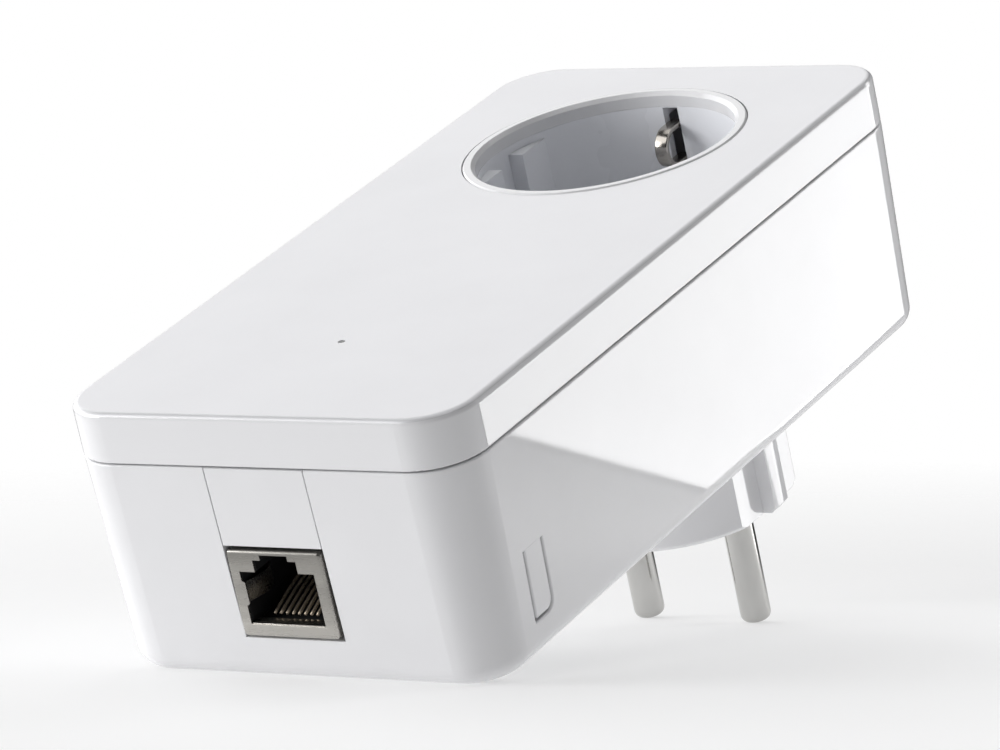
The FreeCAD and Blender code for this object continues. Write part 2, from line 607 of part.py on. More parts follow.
def make_jack_shield():
    body = new_body("jack_shield")
    back = "jack_front + jack_deep"
    block(body, "y", "jack_front", back, box(JACK_LEFT, "jack_low", JACK_RIGHT, "jack_high"))
    rounded(body, "0.7", lambda e: e.BoundBox.YLength > 5)
    block(body, "y", "jack_front + shield_wall", back + " + 1", box(
        JACK_LEFT + " + shield_wall", "jack_low + shield_wall",
        JACK_RIGHT + " - shield_wall", "jack_high - shield_wall"), cut=True)
    block(body, "y", "jack_front - 1", "jack_front + 2*shield_wall", PORT, cut=True)


def make_jack_insert():
    body = new_body("jack_insert")
    front = "jack_front + shield_wall + insert_gap"
    inset = "(shield_wall + insert_gap)"
    block(body, "y", front, "jack_front + jack_deep", box(
        JACK_LEFT + " + " + inset, "jack_low + " + inset, JACK_RIGHT + " - " + inset,
        "jack_high - " + inset))
    block(body, "y", front, "jack_front + port_deep", PORT, cut=True)


def make_jack_contacts():
    """Eight spring wires rising from the mouth of the port to its back."""
    body = new_body("jack_contacts")
    start = ("jack_front + 2.4", "port_low + 0.45")
    end = ("jack_front + port_deep - 0.3", "port_low + 3.6")
    for k in range(8):
        x = "(%s*contact_pitch - jack_aside)" % (k - 3.5)
        block(body, "x", x + " - contact_r", x + " + contact_r", [
            (start[0], start[1]), (end[0], end[1]), (end[0], end[1] + " + 2*contact_r"),
            (start[0] + " - 0.1", start[1] + " + 2*contact_r")])


# ---- side button, its switch and the status light --------------------------------------------
def make_pairing_button():
    """Push tab in the side wall, hinged along its upper inner edge."""
    body = new_body("pairing_button")
    inner = "%s - tab_wall"
    block(body, "y", "tab_near", "tab_far", [
        (side_x("tab_low"), "tab_low"), (side_x("tab_high"), "tab_high"),
        (inner % side_x("tab_high"), "tab_high"), (inner % side_x("tab_high"), "tab_low")])
    rounded(body, "tab_round", across("x", y=measure("tab_far"), z=measure("tab_low")))
    rounded(body, "soft_edge", outer_edge("tab_near", "tab_far", "tab_high - soft_edge"))
    face = inner % side_x("tab_high")
    block(body, "x", face + " - nub_proud", face + " + slip",
          ("(tab_near + tab_far)/2", "nub_height", "nub_r"))


NUB_TIP = "(%s - tab_wall - nub_proud)" % side_x("tab_high")
SWITCH_FACE = "(%s - switch_gap - plunger_out)" % NUB_TIP


def make_switch_body():
    body = new_body("switch_body")
    middle = "((tab_near + tab_far)/2)"
    block(body, "x", SWITCH_FACE + " - switch_deep", SWITCH_FACE, box(
        middle + " - switch_half", BOARD_TOP, middle + " + switch_half",
        "2*nub_height - " + BOARD_TOP))
    block(body, "x", SWITCH_FACE + " - 1", SWITCH_FACE,
          (middle, "nub_height", "plunger_r + slip/2"), cut=True)


def make_switch_plunger():
    body = new_body("switch_plunger")
    block(body, "x", SWITCH_FACE + " - 0.5", SWITCH_FACE + " + plunger_out",
          ("(tab_near + tab_far)/2", "nub_height", "plunger_r"))


def make_status_light():
    body = new_body("status_light")
    block(body, "z", BOARD_TOP, BOARD_TOP + " + light_chip",
          box("-light_chip_half", "light_y - light_chip_half/2",
              "light_chip_half", "light_y + light_chip_half/2"))


def make_light_pipe():
    body = new_body("light_pipe")
    foot = BOARD_TOP + " + light_chip + light_gap"
    tip = "body_depth - light_short"
    turned(body, "0", "light_y", [
        ("0", foot), ("light_r", foot), ("light_r", PLATE_LOW + " - slip"),
        ("light_tip_r", PLATE_LOW + " - slip"), ("light_tip_r", tip), ("0", tip)])


# ---- boards ----------------------------------------------------------------------------------
def make_boards():
    body = new_body("network_board")
    block(body, "z", BOARD_LOW, BOARD_TOP, {
        "low": ("-" + BOARD_HALF, BOARD_NEAR), "high": (BOARD_HALF, BOARD_FAR),
        "radius": "corner_round - wall"})
    for x, y in POSTS[0], POSTS[2]:
        block(body, "z", BOARD_LOW, BOARD_TOP, (x, y, "post_outer + 3*slip"), cut=True)
    body = new_body("mains_board")
    block(body, "z", "mains_low", MAINS_TOP,
          box("-%s + 1" % BOARD_HALF, "mains_near", BOARD_HALF + " - 1", BOARD_FAR))
    for label in ("network_board", "mains_board"):
        body = doc.getObject(label)
        low = BOARD_LOW if label == "network_board" else "mains_low"
        for sign in ("-", ""):
            block(body, "z", low, low + " + board_thick",
                  (sign + BOARD_POST_X, BOARD_POST_FAR, "board_screw_r + slip"), cut=True)
    near = doc.getObject("network_board")
    for sign in ("-", ""):
        block(near, "z", BOARD_LOW, BOARD_TOP,
              (sign + BOARD_POST_X, "board_post_near", "board_screw_r + slip"), cut=True)


def make_board_pillars():
    """Plastic pillars that carry the mains board above the network board."""
    body = new_body("board_pillars")
    for sign in ("-", ""):
        place = (sign + BOARD_POST_X, BOARD_POST_FAR)
        block(body, "z", BOARD_TOP, "mains_low", place + ("pillar_r",), place + ("board_screw_r",))
        place = (sign + BOARD_POST_X, "(mains_near + 3)")
        block(body, "z", BOARD_TOP, "mains_low", place + ("pillar_r",))


def make_board_screws():
    body = new_body("board_screws")
    for sign in ("-", ""):
        x = sign + BOARD_POST_X
        for along, seat in (("board_post_near", BOARD_TOP), (BOARD_POST_FAR, MAINS_TOP)):
            turned(body, x, along, [
                ("0", "wall + slip"), ("board_screw_r - slip", "wall + slip"),
                ("board_screw_r - slip", seat), ("2*board_screw_r", seat),
                ("2*board_screw_r", seat + " + screw_flange"),
                ("1.4*board_screw_r", seat + " + screw_crown"), ("0", seat + " + screw_crown")])


def make_spacer_sheet():
    body = new_body("spacer_sheet")
    high = BOARD_LOW + " - sheet_gap"
    block(body, "z", high + " - sheet_thick", high,
          box("-%s + sheet_inset" % BOARD_HALF, BOARD_NEAR + " + sheet_near",
              BOARD_HALF + " - sheet_inset", BOARD_FAR + " - sheet_end"))
    for sign in ("-", ""):
        for along in ("board_post_near", BOARD_POST_FAR):
            block(body, "z", high + " - sheet_thick", high,
                  (sign + BOARD_POST_X, along, "pillar_r + 3*slip"), cut=True)


# Parts on the boards: board face, lower corner (x, y), size (x, y, z).
COMPONENTS = {
    "network_magnetics": (BOARD_TOP, ("-8", "31"), (16.0, 8.0, 6.0)),
    "main_chip": (BOARD_TOP, ("-20", "46"), (14.0, 14.0, 1.2)),
    "crystal": (BOARD_TOP, ("13", "31"), (4.8, 11.4, 3.5)),
    "supply_capacitor": (MAINS_TOP, ("-26.5", BOARD_FAR + " - 15"), (18.0, 6.0, 10.5)),
    "bridge_rectifier": (MAINS_TOP, ("-3.5", "36"), (8.0, 6.4, 2.8)),
    "coupling_transformer": (MAINS_TOP, ("10", "33"), (12.0, 11.0, 8.5)),
}


def make_components():
    for label, (base, (x, y), (dx, dy, dz)) in COMPONENTS.items():
        body = new_body(label)
        block(body, "z", base, "%s + %s" % (base, dz),
              box(x, y, "%s + %s" % (x, dx), "%s + %s" % (y, dy)))
        rounded(body, "0.4", upright)


def make_heat_sink():
    """Finned block on the main chip."""
    body = new_body("heat_sink")
    (x, y), (dx, dy, dz) = COMPONENTS["main_chip"][1:]
    low = "%s + %s" % (BOARD_TOP, dz)
    far = "%s + %s" % (y, dy)
    plate, fin, height, fins = 1.2, 1.0, 6.0, 6
    block(body, "z", low, "%s + %s" % (low, plate), box(x, y, "%s + %s" % (x, dx), far))
    for k in range(fins):
        start = "%s + %s" % (x, k * (dx - fin) / (fins - 1))
        block(body, "z", "%s + %s" % (low, plate - 0.2), "%s + %s" % (low, height),
              box(start, y, "%s + %s" % (start, fin), far))


def make_transformer():
    """Flyback transformer hanging under the mains board: ferrite core round a wound bobbin."""
    core = new_body("transformer_core")
    x0, x1 = 2.0, 20.0
    yoke, window, height, drop, gap = 2.4, 4.0, 12.0, 1.0, 0.2
    overhang = 3.0
    near, far = BOARD_FAR + " - 30", BOARD_FAR + " - 14"
    top = "(mains_low - %s)" % drop
    low = "(%s - %s)" % (top, height)
    block(core, "z", low, top, box(
        x0, "%s + %s" % (near, overhang), x1, "%s - %s" % (far, overhang)))
    inner0, inner1 = x0 + overhang, x1 - overhang
    floor, ceiling = "%s + %s" % (low, yoke), "%s - %s" % (top, yoke)
    block(core, "y", near, far, box(inner0, floor, inner0 + window, ceiling),
          box(inner1 - window, floor, inner1, ceiling), cut=True)
    coil = new_body("transformer_winding")
    block(coil, "z", "%s + %s" % (floor, gap), "%s - %s" % (ceiling, gap),
          box(inner0 + gap, near, inner1 - gap, far),
          box(inner0 + window - gap, "%s + %s" % (near, overhang - gap),
              inner1 - window + gap, "%s - %s" % (far, overhang - gap)))


def make_choke():
    """Common-mode choke: a ferrite ring with two windings."""
    ring = new_body("choke_core")
    middle = (14.0, BOARD_FAR + " - 20")
    outer, inner, tall, wire, gap = 6.0, 3.4, 6.0, 1.0, 0.1
    low = "%s + %s" % (MAINS_TOP, wire)
    high = "%s + %s" % (low, tall)
    block(ring, "z", low, high, middle + (outer,), middle + (inner,))
    wound = new_body("choke_winding")
    for side in (-1, 1):
        edge = sorted((middle[0] + side * 2 * wire, middle[0] + side * (outer + wire)))
        rim = box(edge[0], "%s - %s" % (middle[1], inner), edge[1], "%s + %s" % (middle[1], inner))
        block(wound, "z", MAINS_TOP, "%s + %s" % (high, wire), rim)
    block(wound, "z", low, high, middle + (outer + gap,), middle + (inner - gap,), cut=True)


def make_round_parts():
    """Capacitors, fuse and varistor."""
    cans = new_body("bulk_capacitors")
    can_r, can_edge, can_tall, can_gap, can_y = 4.8, 0.4, 10.8, 0.2, 40.8
    can_top = "(mains_low - %s)" % can_gap
    can_low = "(%s - %s)" % (can_top, can_tall)
    for x in (-22.0, -10.5):
        turned(cans, x, can_y, [
            ("0", can_low), (can_r - can_edge, can_low),
            (can_r, "%s + %s" % (can_low, can_edge)), (can_r, can_top), ("0", can_top)])
    fuse = new_body("fuse")
    fuse_r, fuse_tall = 4.1, 8.0
    block(fuse, "z", MAINS_TOP, "%s + %s" % (MAINS_TOP, fuse_tall),
          ("-16", BOARD_FAR + " - 23", fuse_r))
    disc = new_body("varistor")
    disc_r, disc_lift = 5.2, 5.5
    block(disc, "y", BOARD_FAR + " - 34", BOARD_FAR + " - 30",
          ("-19", "%s + %s" % (MAINS_TOP, disc_lift), disc_r))


def make_board_header():
    """Row of square posts that carries signals from one board to the other."""
    body = new_body("board_header")
    near = BOARD_FAR + " - 6"
    half, deep, tall, sunk = 8, 2.5, 8.5, 0.5
    posts, pitch, post_half = 6, 2.54, 0.32
    block(body, "z", BOARD_TOP, "%s + %s" % (BOARD_TOP, tall),
          box(-half, near, half, "%s + %s" % (near, deep)))
    for k in range(posts):
        x = pitch * (k - (posts - 1) / 2)
        block(body, "z", "%s + %s" % (BOARD_TOP, tall - sunk), "mains_low",
              box(x - post_half, "%s + %s" % (near, deep / 2 - post_half),
                  x + post_half, "%s + %s" % (near, deep / 2 + post_half)))


# ---- assembly --------------------------------------------------------------------------------
def build():
    make_rear_housing()
    make_front_cover()
    make_jack_panel()
    make_rating_plate()
    make_housing_screws()
    make_socket_rim()
    make_socket_cup()
    make_contact_carrier()
    make_socket_contact("socket_contact_left", "-")
    make_socket_contact("socket_contact_right", "")
    make_earth_bridge()
    make_earth_clip("earth_clip_near", "-")
    make_earth_clip("earth_clip_far", "+")
    make_shutter()
    make_shutter_spring()
    make_plug_body()
    make_plug_pin("plug_pin_left", "-")
    make_plug_pin("plug_pin_right", "")
    make_plug_earth("plug_earth_near", "-")
    make_plug_earth("plug_earth_far", "+")
    make_jack_shield()
    make_jack_insert()
    make_jack_contacts()
    make_pairing_button()
    make_switch_body()
    make_switch_plunger()
    make_status_light()
    make_light_pipe()
    make_boards()
    make_board_pillars()
    make_board_screws()
    make_spacer_sheet()
    make_components()
    make_heat_sink()
    make_transformer()
    make_choke()
    make_round_parts()
    make_board_header()


def rest_tilt():
    """Angle at which the pin tips and the rounded lower edge both touch the ground."""
    slope = SIZES["side_draw"] / SIZES["seam_height"]
    edge_r = SIZES["back_round"]
    edge_y = slope * (SIZES["seam_height"] - edge_r) + edge_r * math.sqrt(1 + slope * slope)
    tip_y = SIZES["body_length"] - SIZES["socket_from_far"] - SIZES["pin_r"] + SIZES["pin_tip"]
    tip_z = -(SIZES["plug_depth"] + SIZES["pin_length"])
    back, rise = edge_y - tip_y, edge_r - tip_z
    return math.pi - math.asin(edge_r / math.hypot(back, rise)) - math.atan2(rise, back)


def stand_up():
    """Tip every piece to the resting pose, with the middle of the footprint at the origin."""
    turn = FreeCAD.Rotation(V(1, 0, 0), math.degrees(rest_tilt()))
    lying = [piece.Shape.copy() for piece in PIECES]
    whole = FreeCAD.BoundBox()
    for shape in lying:
        shape.Placement = FreeCAD.Placement(V(0, 0, 0), turn).multiply(shape.Placement)
        whole.add(shape.optimalBoundingBox(False, False))
    base = V(-whole.Center.x, -whole.Center.y, -whole.ZMin)
    for piece in PIECES:
        piece.Placement = FreeCAD.Placement(base, turn).multiply(piece.Placement)
    doc.recompute()
    print("tilt %.4f deg, base %.4f %.4f %.4f" % ((math.degrees(rest_tilt()),) + tuple(base)))


def check_and_write():
    for thing in doc.Objects:
        if "Invalid" in thing.State or "Error" in thing.State:
            raise RuntimeError("%s failed: %s" % (thing.Label, thing.State))
    os.makedirs("parts", exist_ok=True)
    for piece in PIECES:
        if piece.Shape.isNull() or not piece.Shape.isValid() or piece.Shape.Volume < 1e-3:
            raise RuntimeError("%s has no valid shape" % piece.Label)
        piece.Shape.exportStep(os.path.join("parts", piece.Label + ".step"))
    print("%d pieces written" % len(PIECES))


build()
stand_up()
check_and_write()
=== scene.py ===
"""Looks of a pass-through powerline adapter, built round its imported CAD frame.

The adapter rests on its plug pins and its lower edge.  Pieces are drawn lying flat, in
millimetres: x across the width, y from the network end to the socket end, z from the wall side
to the front face.  The matrix LYING takes them to the frame, in metres.
"""

import json
import math

import bmesh
import bpy
from mathutils import Matrix, Vector


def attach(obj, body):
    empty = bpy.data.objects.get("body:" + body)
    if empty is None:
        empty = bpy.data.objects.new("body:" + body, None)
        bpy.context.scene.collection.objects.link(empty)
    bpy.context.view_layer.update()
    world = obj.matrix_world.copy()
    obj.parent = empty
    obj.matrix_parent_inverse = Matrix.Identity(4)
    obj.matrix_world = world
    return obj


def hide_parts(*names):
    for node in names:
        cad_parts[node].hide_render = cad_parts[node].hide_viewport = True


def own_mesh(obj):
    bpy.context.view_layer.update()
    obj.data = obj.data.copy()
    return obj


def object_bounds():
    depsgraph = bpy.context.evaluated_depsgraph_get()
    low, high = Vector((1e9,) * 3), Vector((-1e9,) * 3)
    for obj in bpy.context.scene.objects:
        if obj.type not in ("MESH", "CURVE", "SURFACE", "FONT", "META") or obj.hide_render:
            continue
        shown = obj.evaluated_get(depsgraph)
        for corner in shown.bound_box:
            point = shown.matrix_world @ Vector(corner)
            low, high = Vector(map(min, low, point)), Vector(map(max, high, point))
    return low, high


bl_info = {
    "name": "Powerline Adapter Looks",
    "version": (1, 0, 0),
    "blender": (4, 5, 0),
    "location": "View3D > Sidebar > Adapter",
    "description": "Builds the visible pieces, finishes and studio of a powerline adapter",
    "category": "Object",
}

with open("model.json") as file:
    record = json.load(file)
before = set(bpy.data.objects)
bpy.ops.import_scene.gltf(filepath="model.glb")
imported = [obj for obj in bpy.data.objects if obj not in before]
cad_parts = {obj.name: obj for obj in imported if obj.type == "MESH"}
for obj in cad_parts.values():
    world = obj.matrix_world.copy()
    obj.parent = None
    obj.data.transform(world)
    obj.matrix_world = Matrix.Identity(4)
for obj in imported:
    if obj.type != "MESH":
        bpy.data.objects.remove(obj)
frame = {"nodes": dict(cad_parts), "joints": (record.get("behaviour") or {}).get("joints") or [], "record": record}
CAD_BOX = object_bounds()
NODES = frame["nodes"]
JOINTS = {joint["name"]: joint for joint in frame["joints"]}
MOUNTS = {mount["name"]: mount for mount in frame["record"]["mounts"]}
NODE_BODY = {
    node: body for body, members in frame["record"]["behaviour"]["bodies"].items()
    for node in members
}
MM = 0.001


# ---- the lying frame -------------------------------------------------------------------------
def lying_matrix():
    """From lying millimetres to the frame: the casing's network end is y = 0, its back z = 0."""
    along = Vector(JOINTS["shutter_slide"]["axis"]).normalized()
    outward = -Vector(MOUNTS["wall_face"]["axis"]).normalized()
    wall = Vector(MOUNTS["wall_face"]["pos_m"])
    first = min((vertex.co - wall).dot(along) for vertex in NODES["front_cover"].data.vertices)
    turn = Matrix((Vector((1, 0, 0)), along, outward)).transposed().to_4x4()
    return Matrix.Translation(wall + along * first) @ turn @ Matrix.Scale(MM, 4)


LYING = lying_matrix()
STANDING = LYING.inverted()
SOCKET_Y = (STANDING @ Vector(MOUNTS["socket_recess"]["pos_m"])).y


def lying_box(node):
    """Lowest and highest corner of a CAD node in lying millimetres."""
    places = [STANDING @ vertex.co for vertex in NODES[node].data.vertices]
    low = Vector(min(p[k] for p in places) for k in range(3))
    high = Vector(max(p[k] for p in places) for k in range(3))
    return low, high


# ---- sizes and colours a user would change ---------------------------------------------------
def millimetres(name, default, description):
    return bpy.props.FloatProperty(name=name, default=default, min=0.0, description=description)


def colour(name, default, description):
    return bpy.props.FloatVectorProperty(
        name=name, default=default, size=3, min=0.0, max=1.0, subtype="COLOR",
        description=description)


class AdapterSizes(bpy.types.PropertyGroup):
    """Sizes of the detailed pieces, in millimetres."""
    sheet: millimetres("Shield sheet", 0.3, "Thickness of the jack shield's sheet")
    sheet_bend: millimetres("Shield bend", 0.55, "Outside radius of the shield's bends")
    contact_wire: millimetres("Contact wire", 0.23, "Radius of a jack contact wire")
    strip: millimetres("Spring strip", 0.8, "Thickness of an earth clip's strip")
    strip_edge: millimetres("Strip edge", 0.18, "Rounding of the strip's edges")
    pin_end: millimetres("Pin end", 1.15, "Height of a plug pin's rounded end")
    coil_wire: millimetres("Spring wire", 0.2, "Radius of the shutter spring's wire")


class AdapterFinish(bpy.types.PropertyGroup):
    """Colours of the main finishes."""
    gloss_white: colour("Gloss white", (0.82, 0.82, 0.835), "Polished casing plastic")
    satin_silver: colour("Satin silver", (0.74, 0.74, 0.76), "Front face of the cover")
    cup_grey: colour("Cup grey", (0.74, 0.75, 0.78), "Socket recess")
    nickel: colour("Nickel", (0.56, 0.555, 0.54), "Plug pins")
    shield: colour("Shield", (0.60, 0.58, 0.54), "Jack shield")
    clip: colour("Clip", (0.50, 0.47, 0.43), "Earth clips")


class StudioSettings(bpy.types.PropertyGroup):
    """Camera and lights of the studio."""
    azimuth: bpy.props.FloatProperty(
        name="Azimuth", default=math.radians(32.256), subtype="ANGLE",
        description="Camera direction round the adapter")
    elevation: bpy.props.FloatProperty(
        name="Elevation", default=math.radians(2.196), subtype="ANGLE",
        description="Camera tilt above the horizon")
    roll: bpy.props.FloatProperty(
        name="Roll", default=math.radians(-0.337), subtype="ANGLE",
        description="Camera roll")
    lens: bpy.props.FloatProperty(
        name="Lens", default=200.0, min=1.0, description="Focal length in millimetres")
    eye: bpy.props.FloatVectorProperty(
        name="Eye", default=(0.431175, -0.686706, 0.07089), size=3, subtype="TRANSLATION",
        description="Camera place")


# ---- shader node groups ----------------------------------------------------------------------
def new_group(name, inputs, outputs):
    """An empty shader node group with its sockets; inputs and outputs are (name, kind, default)."""
    group = bpy.data.node_groups.new(name, "ShaderNodeTree")
    for label, kind, default in inputs:
        socket = group.interface.new_socket(label, in_out="INPUT", socket_type="NodeSocket" + kind)
        if default is not None:
            socket.default_value = default
    for label, kind in outputs:
        group.interface.new_socket(label, in_out="OUTPUT", socket_type="NodeSocket" + kind)
    return group, group.nodes.new("NodeGroupInput"), group.nodes.new("NodeGroupOutput")


def add(tree, kind, values=None, links=None, **settings):
    """A node with its settings, socket values and incoming links."""
    node = tree.nodes.new("ShaderNode" + kind)
    for name, value in settings.items():
        setattr(node, name, value)
    for key, value in (values or {}).items():
        node.inputs[key].default_value = value
    for key, source in (links or {}).items():
        tree.links.new(source, node.inputs[key])
    return node


def spread(tree, source, low, high, to_low=0.0, to_high=1.0):
    """Map a value from low..high to another range."""
    node = add(tree, "MapRange", {"From Min": low, "From Max": high, "To Min": to_low,
                                  "To Max": to_high}, {"Value": source})
    return node.outputs["Result"]


def make_mould_group():
    """Moulded surface: faint flow clouds, a fine grain and tiny specks."""
    group, start, end = new_group(
        "Moulded Surface",
        [("Cloud Size", "Float", 60.0), ("Grain Size", "Float", 2500.0)],
        [("Clouds", "Float"), ("Grain", "Float"), ("Specks", "Float")])
    place = add(group, "TexCoord").outputs["Object"]
    clouds = add(group, "TexNoise", {"Detail": 3.0, "Roughness": 0.55},
                 {"Vector": place, "Scale": start.outputs["Cloud Size"]})
    grain = add(group, "TexNoise", {"Detail": 2.0, "Roughness": 0.6},
                {"Vector": place, "Scale": start.outputs["Grain Size"]})
    cells = add(group, "TexVoronoi", {}, {"Vector": place, "Scale": start.outputs["Grain Size"]})
    group.links.new(clouds.outputs["Fac"], end.inputs["Clouds"])
    group.links.new(grain.outputs["Fac"], end.inputs["Grain"])
    group.links.new(spread(group, cells.outputs["Distance"], 0.08, 0.2, 1.0, 0.0),
                    end.inputs["Specks"])
    return group


def make_edge_group():
    """Softened edges: a rounded normal and a mask of where the surface turns sharply."""
    group, start, end = new_group(
        "Softened Edge", [("Radius", "Float", 0.0002)], [("Normal", "Vector"), ("Edge", "Float")])
    soft = add(group, "Bevel", {}, {"Radius": start.outputs["Radius"]}, samples=4)
    flat = add(group, "NewGeometry")
    turn = add(group, "VectorMath", {}, {0: soft.outputs["Normal"], 1: flat.outputs["Normal"]},
               operation="DOT_PRODUCT")
    group.links.new(soft.outputs["Normal"], end.inputs["Normal"])
    group.links.new(spread(group, turn.outputs["Value"], 0.995, 0.85), end.inputs["Edge"])
    return group


def make_brush_group():
    """Rolled or drawn metal: fine lines that run one way, with broader bands under them."""
    group, start, end = new_group(
        "Brushed Grain",
        [("Stretch", "Vector", (1.0, 1.0, 1.0)), ("Scale", "Float", 4000.0)],
        [("Lines", "Float"), ("Bands", "Float")])
    place = add(group, "TexCoord").outputs["Object"]
    drawn = add(group, "VectorMath", {}, {0: place, 1: start.outputs["Stretch"]},
                operation="MULTIPLY")
    lines = add(group, "TexNoise", {"Detail": 4.0, "Roughness": 0.7},
                {"Vector": drawn.outputs["Vector"], "Scale": start.outputs["Scale"]})
    bands = add(group, "TexNoise", {"Scale": 300.0, "Detail": 2.0},
                {"Vector": drawn.outputs["Vector"]})
    group.links.new(lines.outputs["Fac"], end.inputs["Lines"])
    group.links.new(bands.outputs["Fac"], end.inputs["Bands"])
    return group


GROUPS = {}


def place_group(tree, name, values=None):
    node = tree.nodes.new("ShaderNodeGroup")
    node.node_tree = GROUPS[name]
    for key, value in (values or {}).items():
        node.inputs[key].default_value = value
    return node


# ---- materials -------------------------------------------------------------------------------
def new_material(name):
    """A material with a Principled shader and nothing else yet."""
    material = bpy.data.materials.new(name)
    material.use_nodes = True
    tree = material.node_tree
    tree.nodes.clear()
    shader = tree.nodes.new("ShaderNodeBsdfPrincipled")
    output = tree.nodes.new("ShaderNodeOutputMaterial")
    tree.links.new(shader.outputs["BSDF"], output.inputs["Surface"])
    return material, tree, shader


def blended(tree, factor, first, second):
    """Colour that goes from first to second with a factor."""
    node = tree.nodes.new("ShaderNodeMix")
    node.data_type = "RGBA"
    tree.links.new(factor, node.inputs["Factor"])
    for socket, value in ((node.inputs["A"], first), (node.inputs["B"], second)):
        if isinstance(value, bpy.types.NodeSocket):
            tree.links.new(value, socket)
        else:
            socket.default_value = (*value, 1.0)
    return node.outputs["Result"]


def scaled(rgb, factor):
    return tuple(min(1.0, channel * factor) for channel in rgb)


def moulded_plastic(name, rgb, roughness, grain_height=0.004, grain_size=2500.0, depth=0.03,
                    edge_radius=0.15, edge_light=1.04):
    """Moulded plastic: clouds in the colour and gloss, fine grain in the relief, and edges painted lighter, partly
    as wear and partly as painted highlight.
    """
    material, tree, shader = new_material(name)
    mould = place_group(tree, "Moulded Surface", {"Grain Size": grain_size})
    edge = place_group(tree, "Softened Edge", {"Radius": edge_radius * MM})
    clouds = spread(tree, mould.outputs["Clouds"], 0.3, 0.7)
    body = blended(tree, clouds, scaled(rgb, 1 - depth), rgb)
    # edges painted lighter: partly wear, partly painted highlight
    worn_and_highlit = blended(tree, edge.outputs["Edge"], body, scaled(rgb, edge_light))
    tree.links.new(worn_and_highlit, shader.inputs["Base Color"])
    tree.links.new(spread(tree, mould.outputs["Clouds"], 0.3, 0.7, roughness * 0.8,
                          roughness * 1.2), shader.inputs["Roughness"])
    bump = add(tree, "Bump", {"Strength": 0.35, "Distance": grain_height * MM},
               {"Height": mould.outputs["Grain"], "Normal": edge.outputs["Normal"]})
    tree.links.new(bump.outputs["Normal"], shader.inputs["Normal"])
    return material


def brushed_metal(name, rgb, roughness, stretch, tarnish=0.85, edge_radius=0.12, lines=0.002,
                  scale=4000.0):
    """Plated or rolled metal with a drawn grain, darker bands, and edges painted lighter, partly as wear and
    partly as painted highlight.
    """
    material, tree, shader = new_material(name)
    grain = place_group(tree, "Brushed Grain", {"Stretch": stretch, "Scale": scale})
    edge = place_group(tree, "Softened Edge", {"Radius": edge_radius * MM})
    bands = spread(tree, grain.outputs["Bands"], 0.35, 0.65)
    body = blended(tree, bands, scaled(rgb, tarnish), rgb)
    # edges painted lighter: partly wear, partly painted highlight
    bright = blended(tree, edge.outputs["Edge"], body, scaled(rgb, 1.15))
    tree.links.new(bright, shader.inputs["Base Color"])
    shader.inputs["Metallic"].default_value = 1.0
    tree.links.new(spread(tree, grain.outputs["Lines"], 0.3, 0.7, roughness * 0.7,
                          roughness * 1.3), shader.inputs["Roughness"])
    bump = add(tree, "Bump", {"Strength": 0.3, "Distance": lines * MM},
               {"Height": grain.outputs["Lines"], "Normal": edge.outputs["Normal"]})
    tree.links.new(bump.outputs["Normal"], shader.inputs["Normal"])
    return material


def cover_material(name, silver, white):
    """Cover: a satin silver front face with a fine metallic grain, and polished white sides."""
    material, tree, shader = new_material(name)
    mould = place_group(tree, "Moulded Surface", {"Grain Size": 3600.0})
    edge = place_group(tree, "Softened Edge", {"Radius": 0.1 * MM})
    place = add(tree, "TexCoord").outputs["Object"]
    outward = (LYING.to_3x3() @ Vector((0, 0, 1))).normalized()
    height = add(tree, "VectorMath", {1: outward}, {0: place}, operation="DOT_PRODUCT")
    face = (LYING @ lying_box("front_cover")[1]).dot(outward)
    front = spread(tree, height.outputs["Value"], face - 0.42 * MM, face - 0.32 * MM)
    clouds = spread(tree, mould.outputs["Clouds"], 0.3, 0.7)
    satin = blended(tree, clouds, scaled(silver, 0.97), silver)
    satin = blended(tree, mould.outputs["Specks"], satin, scaled(silver, 1.05))
    tree.links.new(blended(tree, front, white, satin), shader.inputs["Base Color"])
    tree.links.new(spread(tree, front, 0.0, 1.0, 0.03, 0.36), shader.inputs["Roughness"])
    tree.links.new(spread(tree, front, 0.0, 1.0, 0.0, 0.25), shader.inputs["Metallic"])
    relief = add(tree, "Math", {}, {0: mould.outputs["Grain"], 1: front}, operation="MULTIPLY")
    bump = add(tree, "Bump", {"Strength": 0.5, "Distance": 0.012 * MM},
               {"Height": relief.outputs["Value"], "Normal": edge.outputs["Normal"]})
    tree.links.new(bump.outputs["Normal"], shader.inputs["Normal"])
    return material


def outward_height(tree):
    """Height above the wall side, in metres along the outward direction."""
    place = add(tree, "TexCoord").outputs["Object"]
    outward = (LYING.to_3x3() @ Vector((0, 0, 1))).normalized()
    height = add(tree, "VectorMath", {1: outward}, {0: place}, operation="DOT_PRODUCT")
    return height.outputs["Value"], (LYING @ Vector((0, 0, 0))).dot(outward)


def paint_shade_upwards(material, low, high, factor):
    """Paint shade into a finish: its colour grows darker towards the front face, a painted shade on the upper part
    of the jack's shield.
    """
    tree = material.node_tree
    shader = next(node for node in tree.nodes if node.type == "BSDF_PRINCIPLED")
    source = shader.inputs["Base Color"].links[0].from_socket
    height, zero = outward_height(tree)
    rise = spread(tree, height, zero + low * MM, zero + high * MM)
    # painted shade: the colour is multiplied darker with height above the wall side
    darker = tree.nodes.new("ShaderNodeMix")
    darker.data_type, darker.blend_type = "RGBA", "MULTIPLY"
    tree.links.new(rise, darker.inputs["Factor"])
    tree.links.new(source, darker.inputs["A"])
    darker.inputs["B"].default_value = (factor, factor, factor, 1.0)
    tree.links.new(darker.outputs["Result"], shader.inputs["Base Color"])


